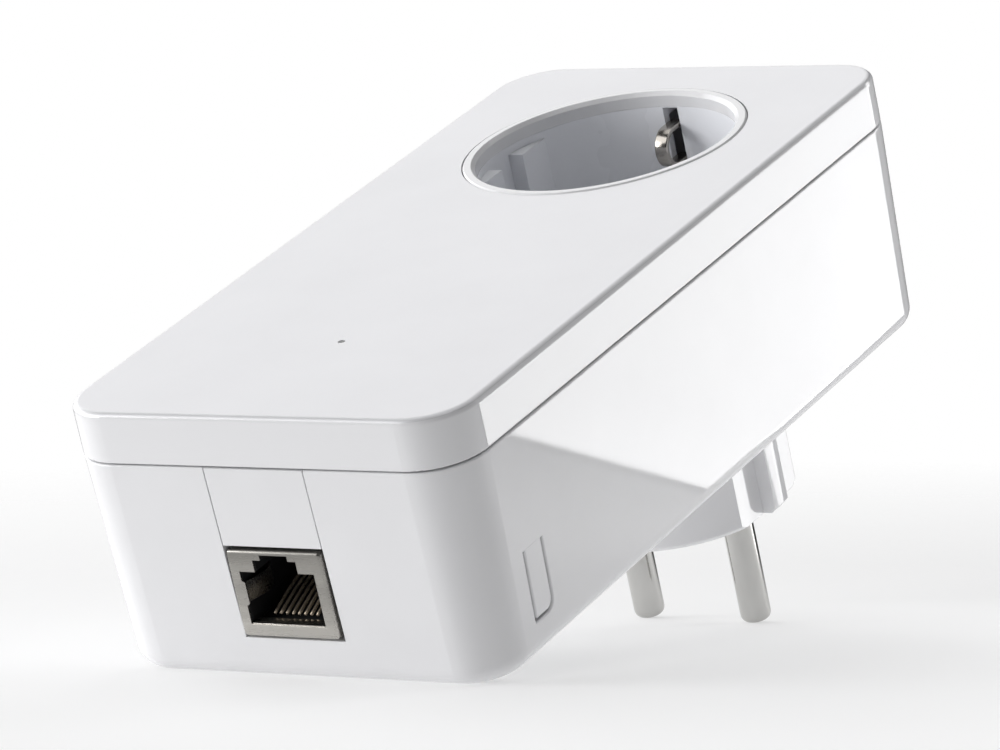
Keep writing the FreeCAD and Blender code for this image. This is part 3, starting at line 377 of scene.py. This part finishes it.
def cup_material(name, grey):
    """Satin socket recess with painted shade: darker at depth and a little lighter towards its rim."""
    material, tree, shader = new_material(name)
    mould = place_group(tree, "Moulded Surface", {"Grain Size": 2500.0})
    edge = place_group(tree, "Softened Edge", {"Radius": 0.2 * MM})
    low, high = lying_box("socket_cup")
    height, zero = outward_height(tree)
    # painted shade: the recess is painted darker towards its floor and lighter at its rim
    rise = spread(tree, height, zero + (low.z + 4) * MM, zero + high.z * MM)
    body = blended(tree, rise, scaled(grey, 0.92), scaled(grey, 1.18))
    clouds = spread(tree, mould.outputs["Clouds"], 0.3, 0.7, 0.0, 0.05)
    tree.links.new(blended(tree, clouds, body, (0.3, 0.3, 0.32)), shader.inputs["Base Color"])
    tree.links.new(spread(tree, mould.outputs["Clouds"], 0.3, 0.7, 0.26, 0.38),
                   shader.inputs["Roughness"])
    bump = add(tree, "Bump", {"Strength": 0.35, "Distance": 0.01 * MM},
               {"Height": mould.outputs["Grain"], "Normal": edge.outputs["Normal"]})
    tree.links.new(bump.outputs["Normal"], shader.inputs["Normal"])
    return material


def board_material(name):
    """Circuit board: solder mask over a grid of tracks and pads, with tinned holes."""
    material, tree, shader = new_material(name)
    place = add(tree, "TexCoord").outputs["Object"]
    blocks = add(tree, "TexVoronoi", {"Scale": 420.0}, {"Vector": place}, distance="CHEBYCHEV")
    tracks = spread(tree, blocks.outputs["Distance"], 0.3, 0.34)
    mask = blended(tree, tracks, (0.02, 0.12, 0.05), (0.035, 0.2, 0.085))
    holes = add(tree, "TexVoronoi", {"Scale": 260.0, "Randomness": 0.35}, {"Vector": place})
    pads = spread(tree, holes.outputs["Distance"], 0.1, 0.13, 1.0, 0.0)
    tree.links.new(blended(tree, pads, mask, (0.55, 0.55, 0.5)), shader.inputs["Base Color"])
    tree.links.new(pads, shader.inputs["Metallic"])
    tree.links.new(spread(tree, tracks, 0.0, 1.0, 0.35, 0.25), shader.inputs["Roughness"])
    bump = add(tree, "Bump", {"Strength": 0.4, "Distance": 0.03 * MM}, {"Height": tracks})
    tree.links.new(bump.outputs["Normal"], shader.inputs["Normal"])
    return material


def clear_material(name):
    """Clear light guide with faint flow lines."""
    material, tree, shader = new_material(name)
    mould = place_group(tree, "Moulded Surface", {"Cloud Size": 400.0})
    shader.inputs["Transmission Weight"].default_value = 0.9
    shader.inputs["IOR"].default_value = 1.49
    tree.links.new(blended(tree, mould.outputs["Clouds"], (0.8, 0.84, 0.84), (0.95, 0.97, 0.97)),
                   shader.inputs["Base Color"])
    tree.links.new(spread(tree, mould.outputs["Grain"], 0.3, 0.7, 0.03, 0.12),
                   shader.inputs["Roughness"])
    return material


def make_materials(finish):
    """One material per slot of the record."""
    along = (1.0, 0.08, 0.08)
    upright = (1.0, 1.0, 0.06)
    plastic = {
        "white_gloss": (finish.gloss_white, 0.03, 0.002),
        "white_rim": (scaled(finish.gloss_white, 0.97), 0.16, 0.004),
        "plate_film": ((0.62, 0.63, 0.64), 0.45, 0.012),
        "carrier_plastic": ((0.72, 0.70, 0.64), 0.42, 0.014),
        "shutter_plastic": ((0.50, 0.51, 0.54), 0.38, 0.012),
        "black_plastic": ((0.018, 0.018, 0.019), 0.38, 0.014),
        "button_grey": ((0.25, 0.25, 0.26), 0.4, 0.012),
        "sheet_black": ((0.03, 0.03, 0.03), 0.5, 0.02),
        "capacitor_yellow": ((0.62, 0.42, 0.05), 0.22, 0.006),
        "winding_tape": ((0.62, 0.48, 0.10), 0.2, 0.02),
        "can_sleeve": ((0.05, 0.05, 0.09), 0.25, 0.006),
        "fuse_case": ((0.16, 0.06, 0.04), 0.28, 0.006),
        "varistor_blue": ((0.03, 0.08, 0.25), 0.25, 0.02),
        "ferrite": ((0.05, 0.05, 0.052), 0.55, 0.05),
    }
    made = {slot: moulded_plastic(slot, tuple(rgb), rough, grain)
            for slot, (rgb, rough, grain) in plastic.items()}
    metal = {
        "zinc_steel": ((0.60, 0.61, 0.63), 0.3, along, 0.85),
        "nickel": (finish.nickel, 0.11, upright, 0.93),
        "clip_steel": (finish.clip, 0.20, along, 0.8),
        "contact_brass": ((0.74, 0.55, 0.24), 0.25, along, 0.8),
        "shield_nickel": (finish.shield, 0.30, (0.05, 1.0, 1.0), 0.8),
        "gold_wire": ((0.50, 0.42, 0.32), 0.3, along, 0.8),
        "heat_sink_alu": ((0.72, 0.72, 0.73), 0.35, along, 0.9),
        "copper_wire": ((0.60, 0.24, 0.10), 0.3, (0.1, 1.0, 1.0), 0.7),
    }
    made.update({slot: brushed_metal(slot, tuple(rgb), rough, stretch, tarnish)
                 for slot, (rgb, rough, stretch, tarnish) in metal.items()})
    # painted shade: the shield's sheet is painted darker towards the front face
    shield_low, shield_high = lying_box("jack_shield")
    paint_shade_upwards(made["shield_nickel"], shield_low.z, shield_high.z, 0.45)
    made["grey_cup"] = cup_material("grey_cup", tuple(finish.cup_grey))
    wire_shader = next(node for node in made["gold_wire"].node_tree.nodes
                       if node.type == "BSDF_PRINCIPLED")
    wire_shader.inputs["Metallic"].default_value = 0.55
    made["silver_cover"] = cover_material(
        "silver_cover", tuple(finish.satin_silver), tuple(finish.gloss_white))
    made["board_green"] = board_material("board_green")
    made["light_clear"] = clear_material("light_clear")
    return made


MATERIALS = {}


# ---- mesh helpers ----------------------------------------------------------------------------
def finish_piece(piece, body, slot, *nodes, smooth=True):
    """Give a piece its material, body and slot, and let it stand for CAD nodes."""
    if smooth and piece.type == "MESH":
        piece.data.shade_smooth()
    piece.data.materials.clear()
    piece.data.materials.append(MATERIALS[slot])
    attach(piece, body)
    if nodes:
        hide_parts(*nodes)
    return piece


def mesh_from(name, points, faces):
    """A mesh object from lying points, with its normals made consistent."""
    mesh = bpy.data.meshes.new(name)
    mesh.from_pydata([LYING @ Vector(p) for p in points], [], faces)
    work = bmesh.new()
    work.from_mesh(mesh)
    bmesh.ops.recalc_face_normals(work, faces=work.faces)
    work.to_mesh(mesh)
    work.free()
    piece = bpy.data.objects.new(name, mesh)
    bpy.context.scene.collection.objects.link(piece)
    return piece


def tube_faces(rings, count, closed_ends=True, looped=False):
    """Quads between rings of points, with optional end caps."""
    faces = []
    for r in range(rings if looped else rings - 1):
        for k in range(count):
            following = (k + 1) % count
            after = (r + 1) % rings
            faces.append((r * count + k, r * count + following,
                          after * count + following, after * count + k))
    if closed_ends and not looped:
        faces.append(tuple(range(count - 1, -1, -1)))
        faces.append(tuple(range((rings - 1) * count, rings * count)))
    return faces


def lathe(name, x, y, outline, segments=96):
    """Turn an outline of (radius, z) points about an upright axis; the ends lie on the axis."""
    points, faces = [], []
    inner = outline[1:-1]
    for radius, z in inner:
        for k in range(segments):
            turn = 2 * math.pi * k / segments
            points.append((x + radius * math.cos(turn), y + radius * math.sin(turn), z))
    faces = tube_faces(len(inner), segments, closed_ends=False)
    for (radius, z), ring in ((outline[0], 0), (outline[-1], len(inner) - 1)):
        points.append((x, y, z))
        tip = len(points) - 1
        faces += [(tip, ring * segments + (k + 1) % segments, ring * segments + k)
                  for k in range(segments)]
    return mesh_from(name, points, faces)


def arc(cu, cv, radius, start, stop, steps):
    """Points along an arc, with angles in degrees."""
    return [(cu + radius * math.cos(math.radians(start + (stop - start) * k / steps)),
             cv + radius * math.sin(math.radians(start + (stop - start) * k / steps)))
            for k in range(steps + 1)]


def rounded_outline(half_u, half_v, radius, steps=4):
    """Corner-rounded rectangle round the origin."""
    corners = ((1, 1, 0), (-1, 1, 90), (-1, -1, 180), (1, -1, 270))
    outline = []
    for su, sv, start in corners:
        outline += arc(su * (half_u - radius), sv * (half_v - radius), radius, start, start + 90,
                       steps)
    return outline


def sweep(name, path, section, side):
    """Carry a section (across, off) along a path; side is the direction of its first number."""
    side = Vector(side)
    points = []
    path = [Vector(p) for p in path]
    for k, place in enumerate(path):
        before = path[max(k - 1, 0)]
        after = path[min(k + 1, len(path) - 1)]
        off = (after - before).normalized().cross(side)
        points += [place + side * u + off * v for u, v in section]
    return mesh_from(name, points, tube_faces(len(path), len(section)))


def mark_sharp(piece, angle):
    """Keep edges sharper than an angle crisp in the shading."""
    piece.data.set_sharp_from_angle(angle=math.radians(angle))


# ---- pieces ----------------------------------------------------------------------------------
PIN_SHANK_STEP = 0.25
PIN_FLAT_SHARE = 0.85
PIN_CHAMFER = 0.1
PIN_HEAD_EDGE = 0.3


def build_plug_pins(sizes):
    """Two turned pins with a rounded end, a thinner shank and a head inside the plug."""
    for side in ("left", "right"):
        node = "plug_pin_" + side
        low, high = lying_box(node)
        x = (low.x + high.x) / 2
        radius = MOUNTS[node + "_end"]["dims"]["r_mm"]
        face = lying_box("plug_body")[0].z
        inner_top = lying_box("plug_body")[1].z
        shank = radius - PIN_SHANK_STEP
        head = (high.x - low.x) / 2
        end = sizes.pin_end
        flat = radius - PIN_FLAT_SHARE * end
        nose = [(flat + (radius - flat) * math.sin(math.radians(a)),
                 low.z + end * (1 - math.cos(math.radians(a)))) for a in range(0, 91, 10)]
        outline = [(0, low.z), (flat * 0.5, low.z)] + nose + [
            (radius, low.z + end + 0.4), (radius, (low.z + face) / 2), (radius, face - 0.05),
            (radius, face), (shank, face), (shank, inner_top),
            (head - PIN_CHAMFER, inner_top), (head, inner_top + PIN_CHAMFER),
            (head, high.z - PIN_HEAD_EDGE), (head - PIN_HEAD_EDGE, high.z), (0, high.z)]
        pin = lathe(node + "_turned", x, SOCKET_Y, outline)
        pin.data.shade_smooth()
        pin = finish_piece(pin, NODE_BODY[node], "nickel", node)
        mark_sharp(pin, 40.0)


CLIP_NOSE_RADIUS = 3.2
CLIP_BEND_RADIUS = 1.2


def build_earth_clips(sizes):
    """Spring strips: a leg behind the socket wall, and a round nose that bulges through it."""
    for end, sign in (("near", -1), ("far", 1)):
        node = "earth_clip_" + end
        low, high = lying_box(node)
        nose = SOCKET_Y + sign * (min(abs(low.y - SOCKET_Y), abs(high.y - SOCKET_Y)))
        leg = SOCKET_Y + sign * (max(abs(low.y - SOCKET_Y), abs(high.y - SOCKET_Y)))
        half_strip = sizes.strip / 2
        top = high.z - half_strip
        radius = CLIP_NOSE_RADIUS - half_strip
        centre_z = high.z - CLIP_NOSE_RADIUS
        bend_y = nose + sign * CLIP_NOSE_RADIUS
        leg_y = leg - sign * half_strip
        corner = CLIP_BEND_RADIUS
        low_z = centre_z - radius
        route = [(0, leg_y, low.z), (0, leg_y, (low.z + low_z) / 2)]
        route += [(0, leg_y - sign * (corner - v), low_z - corner + u) for u, v in
                  ((corner * math.sin(math.radians(a)), corner * math.cos(math.radians(a)))
                   for a in range(0, 91, 15))]
        route += [(0, bend_y - sign * radius * math.sin(math.radians(a)),
                   centre_z - radius * math.cos(math.radians(a))) for a in range(0, 181, 6)]
        route += [(0, bend_y + sign * corner, top), (0, leg_y - sign * corner, top)]
        section = rounded_outline((high.x - low.x) / 2, half_strip, sizes.strip_edge, 3)
        clip = sweep(node + "_strip", route, section, (1, 0, 0))
        finish_piece(clip, NODE_BODY[node], "clip_steel", node)
        mark_sharp(clip, 50.0)


MOUTH = [
    (-6.2, 9.0), (6.2, 9.0), (6.2, 17.0), (3.6, 17.0), (3.6, 18.8), (2.3, 18.8), (2.3, 19.6),
    (-2.3, 19.6), (-2.3, 18.8), (-3.6, 18.8), (-3.6, 17.0), (-6.2, 17.0), (-6.2, 15.6),
    (-5.7, 15.35), (-5.7, 12.1), (-6.2, 11.75),
]


def build_jack_shield(sizes):
    """Folded nickel sheet round the jack: rounded bends and a stepped mouth; the spring tab is built on its own.
    """
    low, high = lying_box("jack_shield")
    half, tall = (high.x - low.x) / 2, (high.z - low.z) / 2
    middle = (low.z + high.z) / 2
    bend = sizes.sheet_bend
    rings = [(high.y, 0.0), ((low.y + high.y) / 2, 0.0), (low.y + bend, 0.0)]
    rings += [(low.y + bend * (1 - math.sin(math.radians(a))),
               bend * (1 - math.cos(math.radians(a)))) for a in (22, 45, 68, 90)]
    points, steps = [], 5
    for y, inset in rings:
        outline = rounded_outline(half - inset, tall - inset, 0.7 - inset * 0.9, steps)
        points += [(u, y, middle + v) for u, v in outline]
    count = len(outline)
    faces = tube_faces(len(rings), count, closed_ends=False)
    rim = [(len(rings) - 1) * count + k for k in range(count)]
    mouth = [len(points) + k for k in range(len(MOUTH))]
    centre = (low.x + high.x) / 2
    points = [(u + centre, y, v) for u, y, v in points]
    points += [(u + centre, low.y, v) for u, v in MOUTH]
    piece = mesh_from("jack_shield_sheet", points, faces)
    work = bmesh.new()
    work.from_mesh(piece.data)
    work.verts.ensure_lookup_table()
    loops = [work.edges.get((work.verts[a], work.verts[b]))
             for a, b in zip(rim, rim[1:] + rim[:1])]
    loops += [work.edges.new((work.verts[a], work.verts[b]))
              for a, b in zip(mouth, mouth[1:] + mouth[:1])]
    bmesh.ops.triangle_fill(work, use_beauty=True, use_dissolve=False, edges=loops)
    bmesh.ops.recalc_face_normals(work, faces=work.faces)
    work.to_mesh(piece.data)
    work.free()
    wall = piece.modifiers.new("Sheet", "SOLIDIFY")
    wall.thickness = sizes.sheet * MM
    wall.offset = -1.0
    with bpy.context.temp_override(object=piece):
        bpy.ops.object.modifier_apply(modifier=wall.name)
    finish_piece(piece, "casing", "shield_nickel", "jack_shield")
    mark_sharp(piece, 30.0)


# inward place, depth behind the mouth: the finger's bends, in millimetres
FINGER_BENDS = [(0.0, 0.35), (0.15, 0.9), (0.5, 2.0), (0.95, 3.4), (1.0, 4.6), (0.6, 6.0),
                (-0.1, 7.2)]
FINGER_HEIGHT = 13.7
FINGER_HALF_WIDTH = 1.5


def build_spring_tab(sizes):
    """Springy finger bent inward from the shield's left side wall, and the mouth's folded lip."""
    low, high = lying_box("jack_shield")
    start = (low.x + high.x) / 2 + MOUTH[0][0]
    route = [(start + inward, low.y + depth, FINGER_HEIGHT) for inward, depth in FINGER_BENDS]
    section = rounded_outline(FINGER_HALF_WIDTH, sizes.sheet / 2, 0.06, 2)
    tab = sweep("jack_shield_finger", route, section, (0, 0, 1))
    finish_piece(tab, "casing", "shield_nickel")
    mark_sharp(tab, 40.0)
    middle, floor_z = (low.x + high.x) / 2, MOUTH[0][1]
    lip_path = [(middle, low.y + 0.1, floor_z + 0.02), (middle, low.y + 0.9, floor_z + 0.1),
                (middle, low.y + 1.8, floor_z + 0.14)]
    lip = sweep("jack_shield_lip", lip_path, rounded_outline(6.05, 0.1, 0.05, 2), (1, 0, 0))
    finish_piece(lip, "casing", "shield_nickel")
    mark_sharp(lip, 40.0)


CONTACT_COUNT = 8
CONTACT_BOW = 0.10


def build_jack_contacts(sizes):
    """Eight gold-plated wires that rise from the mouth of the port towards its back."""
    low, high = lying_box("jack_contacts")
    pitch = (high.x - low.x - 2 * sizes.contact_wire) / (CONTACT_COUNT - 1)
    section = rounded_outline(sizes.contact_wire, sizes.contact_wire, sizes.contact_wire * 0.9, 3)
    points, faces = [], []
    length, rise = high.y - low.y, high.z - low.z - 2 * sizes.contact_wire
    for k in range(CONTACT_COUNT):
        x = low.x + sizes.contact_wire + pitch * k
        base = low.z + sizes.contact_wire
        route = [(x, low.y + length * t, base + rise * (t + CONTACT_BOW * math.sin(math.pi * t)))
                 for t in (0.0, 0.06, 0.15, 0.3, 0.45, 0.6, 0.75, 0.88, 1.0)]
        first = len(points)
        path = [Vector(p) for p in route]
        for n, place in enumerate(path):
            run = path[min(n + 1, len(path) - 1)] - path[max(n - 1, 0)]
            off = run.normalized().cross(Vector((1, 0, 0)))
            points += [place + Vector((u, 0, 0)) + off * v for u, v in section]
        faces += [tuple(first + i for i in face) for face in tube_faces(len(path), len(section))]
    wires = mesh_from("jack_contacts_wires", points, faces)
    finish_piece(wires, "casing", "gold_wire", "jack_contacts")


def build_shutter_spring(sizes):
    """Coil between the shutter and its stop, drawn at one length; the real spring shortens as the shutter slides.
    """
    low, high = lying_box("shutter_spring")
    radius = (high.x - low.x) / 2 - sizes.coil_wire
    middle_z = (low.z + high.z) / 2
    turns, steps = 6, 20
    length = high.y - low.y - 2 * sizes.coil_wire
    total = turns * steps
    section = rounded_outline(sizes.coil_wire, sizes.coil_wire, sizes.coil_wire * 0.95, 2)
    points = []
    for k in range(total + 1):
        turn = 2 * math.pi * k / steps
        outward = Vector((math.cos(turn), 0, math.sin(turn)))
        along = low.y + sizes.coil_wire + length * k / total
        place = outward * radius + Vector((0, along, middle_z))
        points += [place + outward * u + Vector((0, v, 0)) for u, v in section]
    coil = mesh_from("shutter_spring_coil", points, tube_faces(total + 1, len(section)))
    finish_piece(coil, "casing", "zinc_steel", "shutter_spring")
    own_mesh(coil)


def paint_cad_nodes():
    """Every CAD node takes the finish of its own slot."""
    for part in frame["record"]["subparts"]:
        data = NODES[part["node"]].data
        data.materials.clear()
        data.materials.append(MATERIALS[part["material_slot"]])


# ---- studio ----------------------------------------------------------------------------------
def area_light(name, place, aim, size, power):
    """A soft rectangular light at a place, turned towards a point."""
    data = bpy.data.lights.new(name, "AREA")
    data.shape = "RECTANGLE"
    data.size, data.size_y = size
    data.energy = power
    lamp = bpy.data.objects.new(name, data)
    bpy.context.scene.collection.objects.link(lamp)
    lamp.location = place
    turn = (Vector(aim) - Vector(place)).to_track_quat("-Z", "Y").to_matrix().to_4x4()
    lamp.rotation_euler = turn.to_euler()
    lamp.visible_camera = False
    return lamp


FLOOR_GLOW = 0.46
FLOOR_REACH = 0.5
FLOOR_FADE_FROM = 0.17


def build_floor():
    """Pale matt floor that fades into the white surround away from the adapter."""
    mesh = bpy.data.meshes.new("floor")
    rim = [(FLOOR_REACH * math.cos(math.radians(a)), FLOOR_REACH * math.sin(math.radians(a)), 0)
           for a in range(0, 360, 5)]
    mesh.from_pydata(rim, [], [tuple(range(len(rim)))])
    floor = bpy.data.objects.new("floor", mesh)
    bpy.context.scene.collection.objects.link(floor)
    material, tree, shader = new_material("studio_floor")
    mould = place_group(tree, "Moulded Surface", {"Cloud Size": 8.0})
    tree.links.new(blended(tree, mould.outputs["Clouds"], (0.44, 0.44, 0.443), (0.46, 0.46, 0.463)),
                   shader.inputs["Base Color"])
    shader.inputs["Roughness"].default_value = 0.7
    shader.inputs["Emission Color"].default_value = (1.0, 1.0, 1.0, 1.0)
    shader.inputs["Emission Strength"].default_value = FLOOR_GLOW
    place = add(tree, "TexCoord").outputs["Object"]
    away = add(tree, "VectorMath", {}, {0: place}, operation="LENGTH")
    tree.links.new(spread(tree, away.outputs["Value"], FLOOR_FADE_FROM, FLOOR_REACH, 1.0, 0.0),
                   shader.inputs["Alpha"])
    mesh.materials.append(material)


def build_world():
    """Soft white surround, dimmer for the object than for the camera."""
    world = bpy.data.worlds.new("studio")
    world.use_nodes = True
    tree = world.node_tree
    tree.nodes.clear()
    rays = add(tree, "LightPath")
    seen = add(tree, "Background", {"Color": (1, 1, 1, 1), "Strength": 1.0})
    lit = add(tree, "Background", {"Color": (0.97, 0.98, 1.0, 1), "Strength": 0.03})
    both = tree.nodes.new("ShaderNodeMixShader")
    tree.links.new(rays.outputs["Is Camera Ray"], both.inputs[0])
    tree.links.new(lit.outputs[0], both.inputs[1])
    tree.links.new(seen.outputs[0], both.inputs[2])
    output = tree.nodes.new("ShaderNodeOutputWorld")
    tree.links.new(both.outputs[0], output.inputs["Surface"])
    bpy.context.scene.world = world


def build_camera(studio):
    data = bpy.data.cameras.new("studio_camera")
    data.lens = studio.lens
    data.sensor_width = 36.0
    data.clip_start, data.clip_end = 0.01, 50.0
    camera = bpy.data.objects.new("studio_camera", data)
    bpy.context.scene.collection.objects.link(camera)
    camera.location = studio.eye
    ahead = Vector((-math.sin(studio.azimuth) * math.cos(studio.elevation),
                    math.cos(studio.azimuth) * math.cos(studio.elevation),
                    -math.sin(studio.elevation)))
    turn = ahead.to_track_quat("-Z", "Y").to_matrix() @ Matrix.Rotation(studio.roll, 3, "Z")
    camera.rotation_euler = turn.to_euler()
    bpy.context.scene.camera = camera


# name: place and size in metres, power in watts
LIGHTS = {
    "key_left": ((-0.9, -1.1, 0.9), (1.2, 0.9), 6.3),
    "left_wall": ((-1.3, 0.2, 0.5), (1.2, 0.8), 8.0),
    "low_left": ((-1.0, -0.7, 0.25), (0.8, 0.4), 9.5),
    "over_right": ((0.45, -0.45, 1.1), (0.6, 0.6), 1.0),
    "overhead": ((0.0, 0.2, 1.5), (1.6, 1.6), 8.5),
    "back_top": ((-0.7, 0.8, 0.9), (1.0, 0.8), 3.5),
    "near_left": ((-0.38, 0.0, 0.3), (0.3, 0.3), 0.1),
}


WALL_PLACE = Vector((0.192, 0.2604, 0.101))
WALL_FACING = Vector((0.647, -0.763, 0.0))
WALL_SIZE = (0.32, 0.2)
WALL_POWER = 1.0


def build_lights():
    """Soft lights round the adapter, and a bright wall that the glossy right side mirrors."""
    middle = sum((Vector(corner) for corner in CAD_BOX), Vector()) / 2
    for name, (place, size, power) in LIGHTS.items():
        area_light(name, place, middle, size, power)
    area_light("bright_wall", WALL_PLACE, WALL_PLACE + WALL_FACING, WALL_SIZE, WALL_POWER)


# ---- operators, panel ------------------------------------------------------------------------
class ADAPTER_OT_finishes(bpy.types.Operator):
    """Make the node groups and one material per slot, and paint the CAD nodes"""
    bl_idname = "adapter.finishes"
    bl_label = "Finishes"

    def execute(self, context):
        GROUPS["Moulded Surface"] = make_mould_group()
        GROUPS["Softened Edge"] = make_edge_group()
        GROUPS["Brushed Grain"] = make_brush_group()
        MATERIALS.update(make_materials(context.scene.adapter_finish))
        paint_cad_nodes()
        return {"FINISHED"}


class ADAPTER_OT_plug_pins(bpy.types.Operator):
    """Build the two turned plug pins"""
    bl_idname = "adapter.plug_pins"
    bl_label = "Plug Pins"

    def execute(self, context):
        build_plug_pins(context.scene.adapter_sizes)
        return {"FINISHED"}


class ADAPTER_OT_earth_clips(bpy.types.Operator):
    """Build the two bent earth clips of the socket"""
    bl_idname = "adapter.earth_clips"
    bl_label = "Earth Clips"

    def execute(self, context):
        build_earth_clips(context.scene.adapter_sizes)
        return {"FINISHED"}


class ADAPTER_OT_network_jack(bpy.types.Operator):
    """Build the jack's folded shield, its spring finger and its contact wires"""
    bl_idname = "adapter.network_jack"
    bl_label = "Network Jack"

    def execute(self, context):
        sizes = context.scene.adapter_sizes
        build_jack_shield(sizes)
        build_spring_tab(sizes)
        build_jack_contacts(sizes)
        return {"FINISHED"}


class ADAPTER_OT_shutter_spring(bpy.types.Operator):
    """Build the coil that returns the safety shutter"""
    bl_idname = "adapter.shutter_spring"
    bl_label = "Shutter Spring"

    def execute(self, context):
        build_shutter_spring(context.scene.adapter_sizes)
        return {"FINISHED"}


class ADAPTER_OT_studio(bpy.types.Operator):
    """Build the floor, the surround, the lights and the camera"""
    bl_idname = "adapter.studio"
    bl_label = "Studio"

    def execute(self, context):
        build_floor()
        build_world()
        build_lights()
        build_camera(context.scene.adapter_studio)
        context.scene.view_settings.view_transform = "Standard"
        return {"FINISHED"}


class VIEW3D_PT_adapter(bpy.types.Panel):
    """Building steps of the adapter"""
    bl_label = "Adapter"
    bl_space_type = "VIEW_3D"
    bl_region_type = "UI"
    bl_category = "Adapter"

    def draw(self, context):
        for step in STEPS:
            self.layout.operator(step.bl_idname)
        for group in ("adapter_sizes", "adapter_finish", "adapter_studio"):
            settings = getattr(context.scene, group)
            column = self.layout.column()
            for name in settings.__annotations__:
                column.prop(settings, name)


STEPS = (ADAPTER_OT_finishes, ADAPTER_OT_plug_pins, ADAPTER_OT_earth_clips,
         ADAPTER_OT_network_jack, ADAPTER_OT_shutter_spring, ADAPTER_OT_studio)
SETTINGS = {"adapter_sizes": AdapterSizes, "adapter_finish": AdapterFinish,
            "adapter_studio": StudioSettings}


def register():
    for kind in (*SETTINGS.values(), *STEPS, VIEW3D_PT_adapter):
        bpy.utils.register_class(kind)
    for name, kind in SETTINGS.items():
        setattr(bpy.types.Scene, name, bpy.props.PointerProperty(type=kind))


def unregister():
    for name in SETTINGS:
        delattr(bpy.types.Scene, name)
    for kind in (VIEW3D_PT_adapter, *reversed(STEPS), *SETTINGS.values()):
        bpy.utils.unregister_class(kind)


def main():
    register()
    for step in STEPS:
        name = step.bl_idname.split(".")[1]
        getattr(bpy.ops.adapter, name)()


if __name__ == "__main__":
    main()
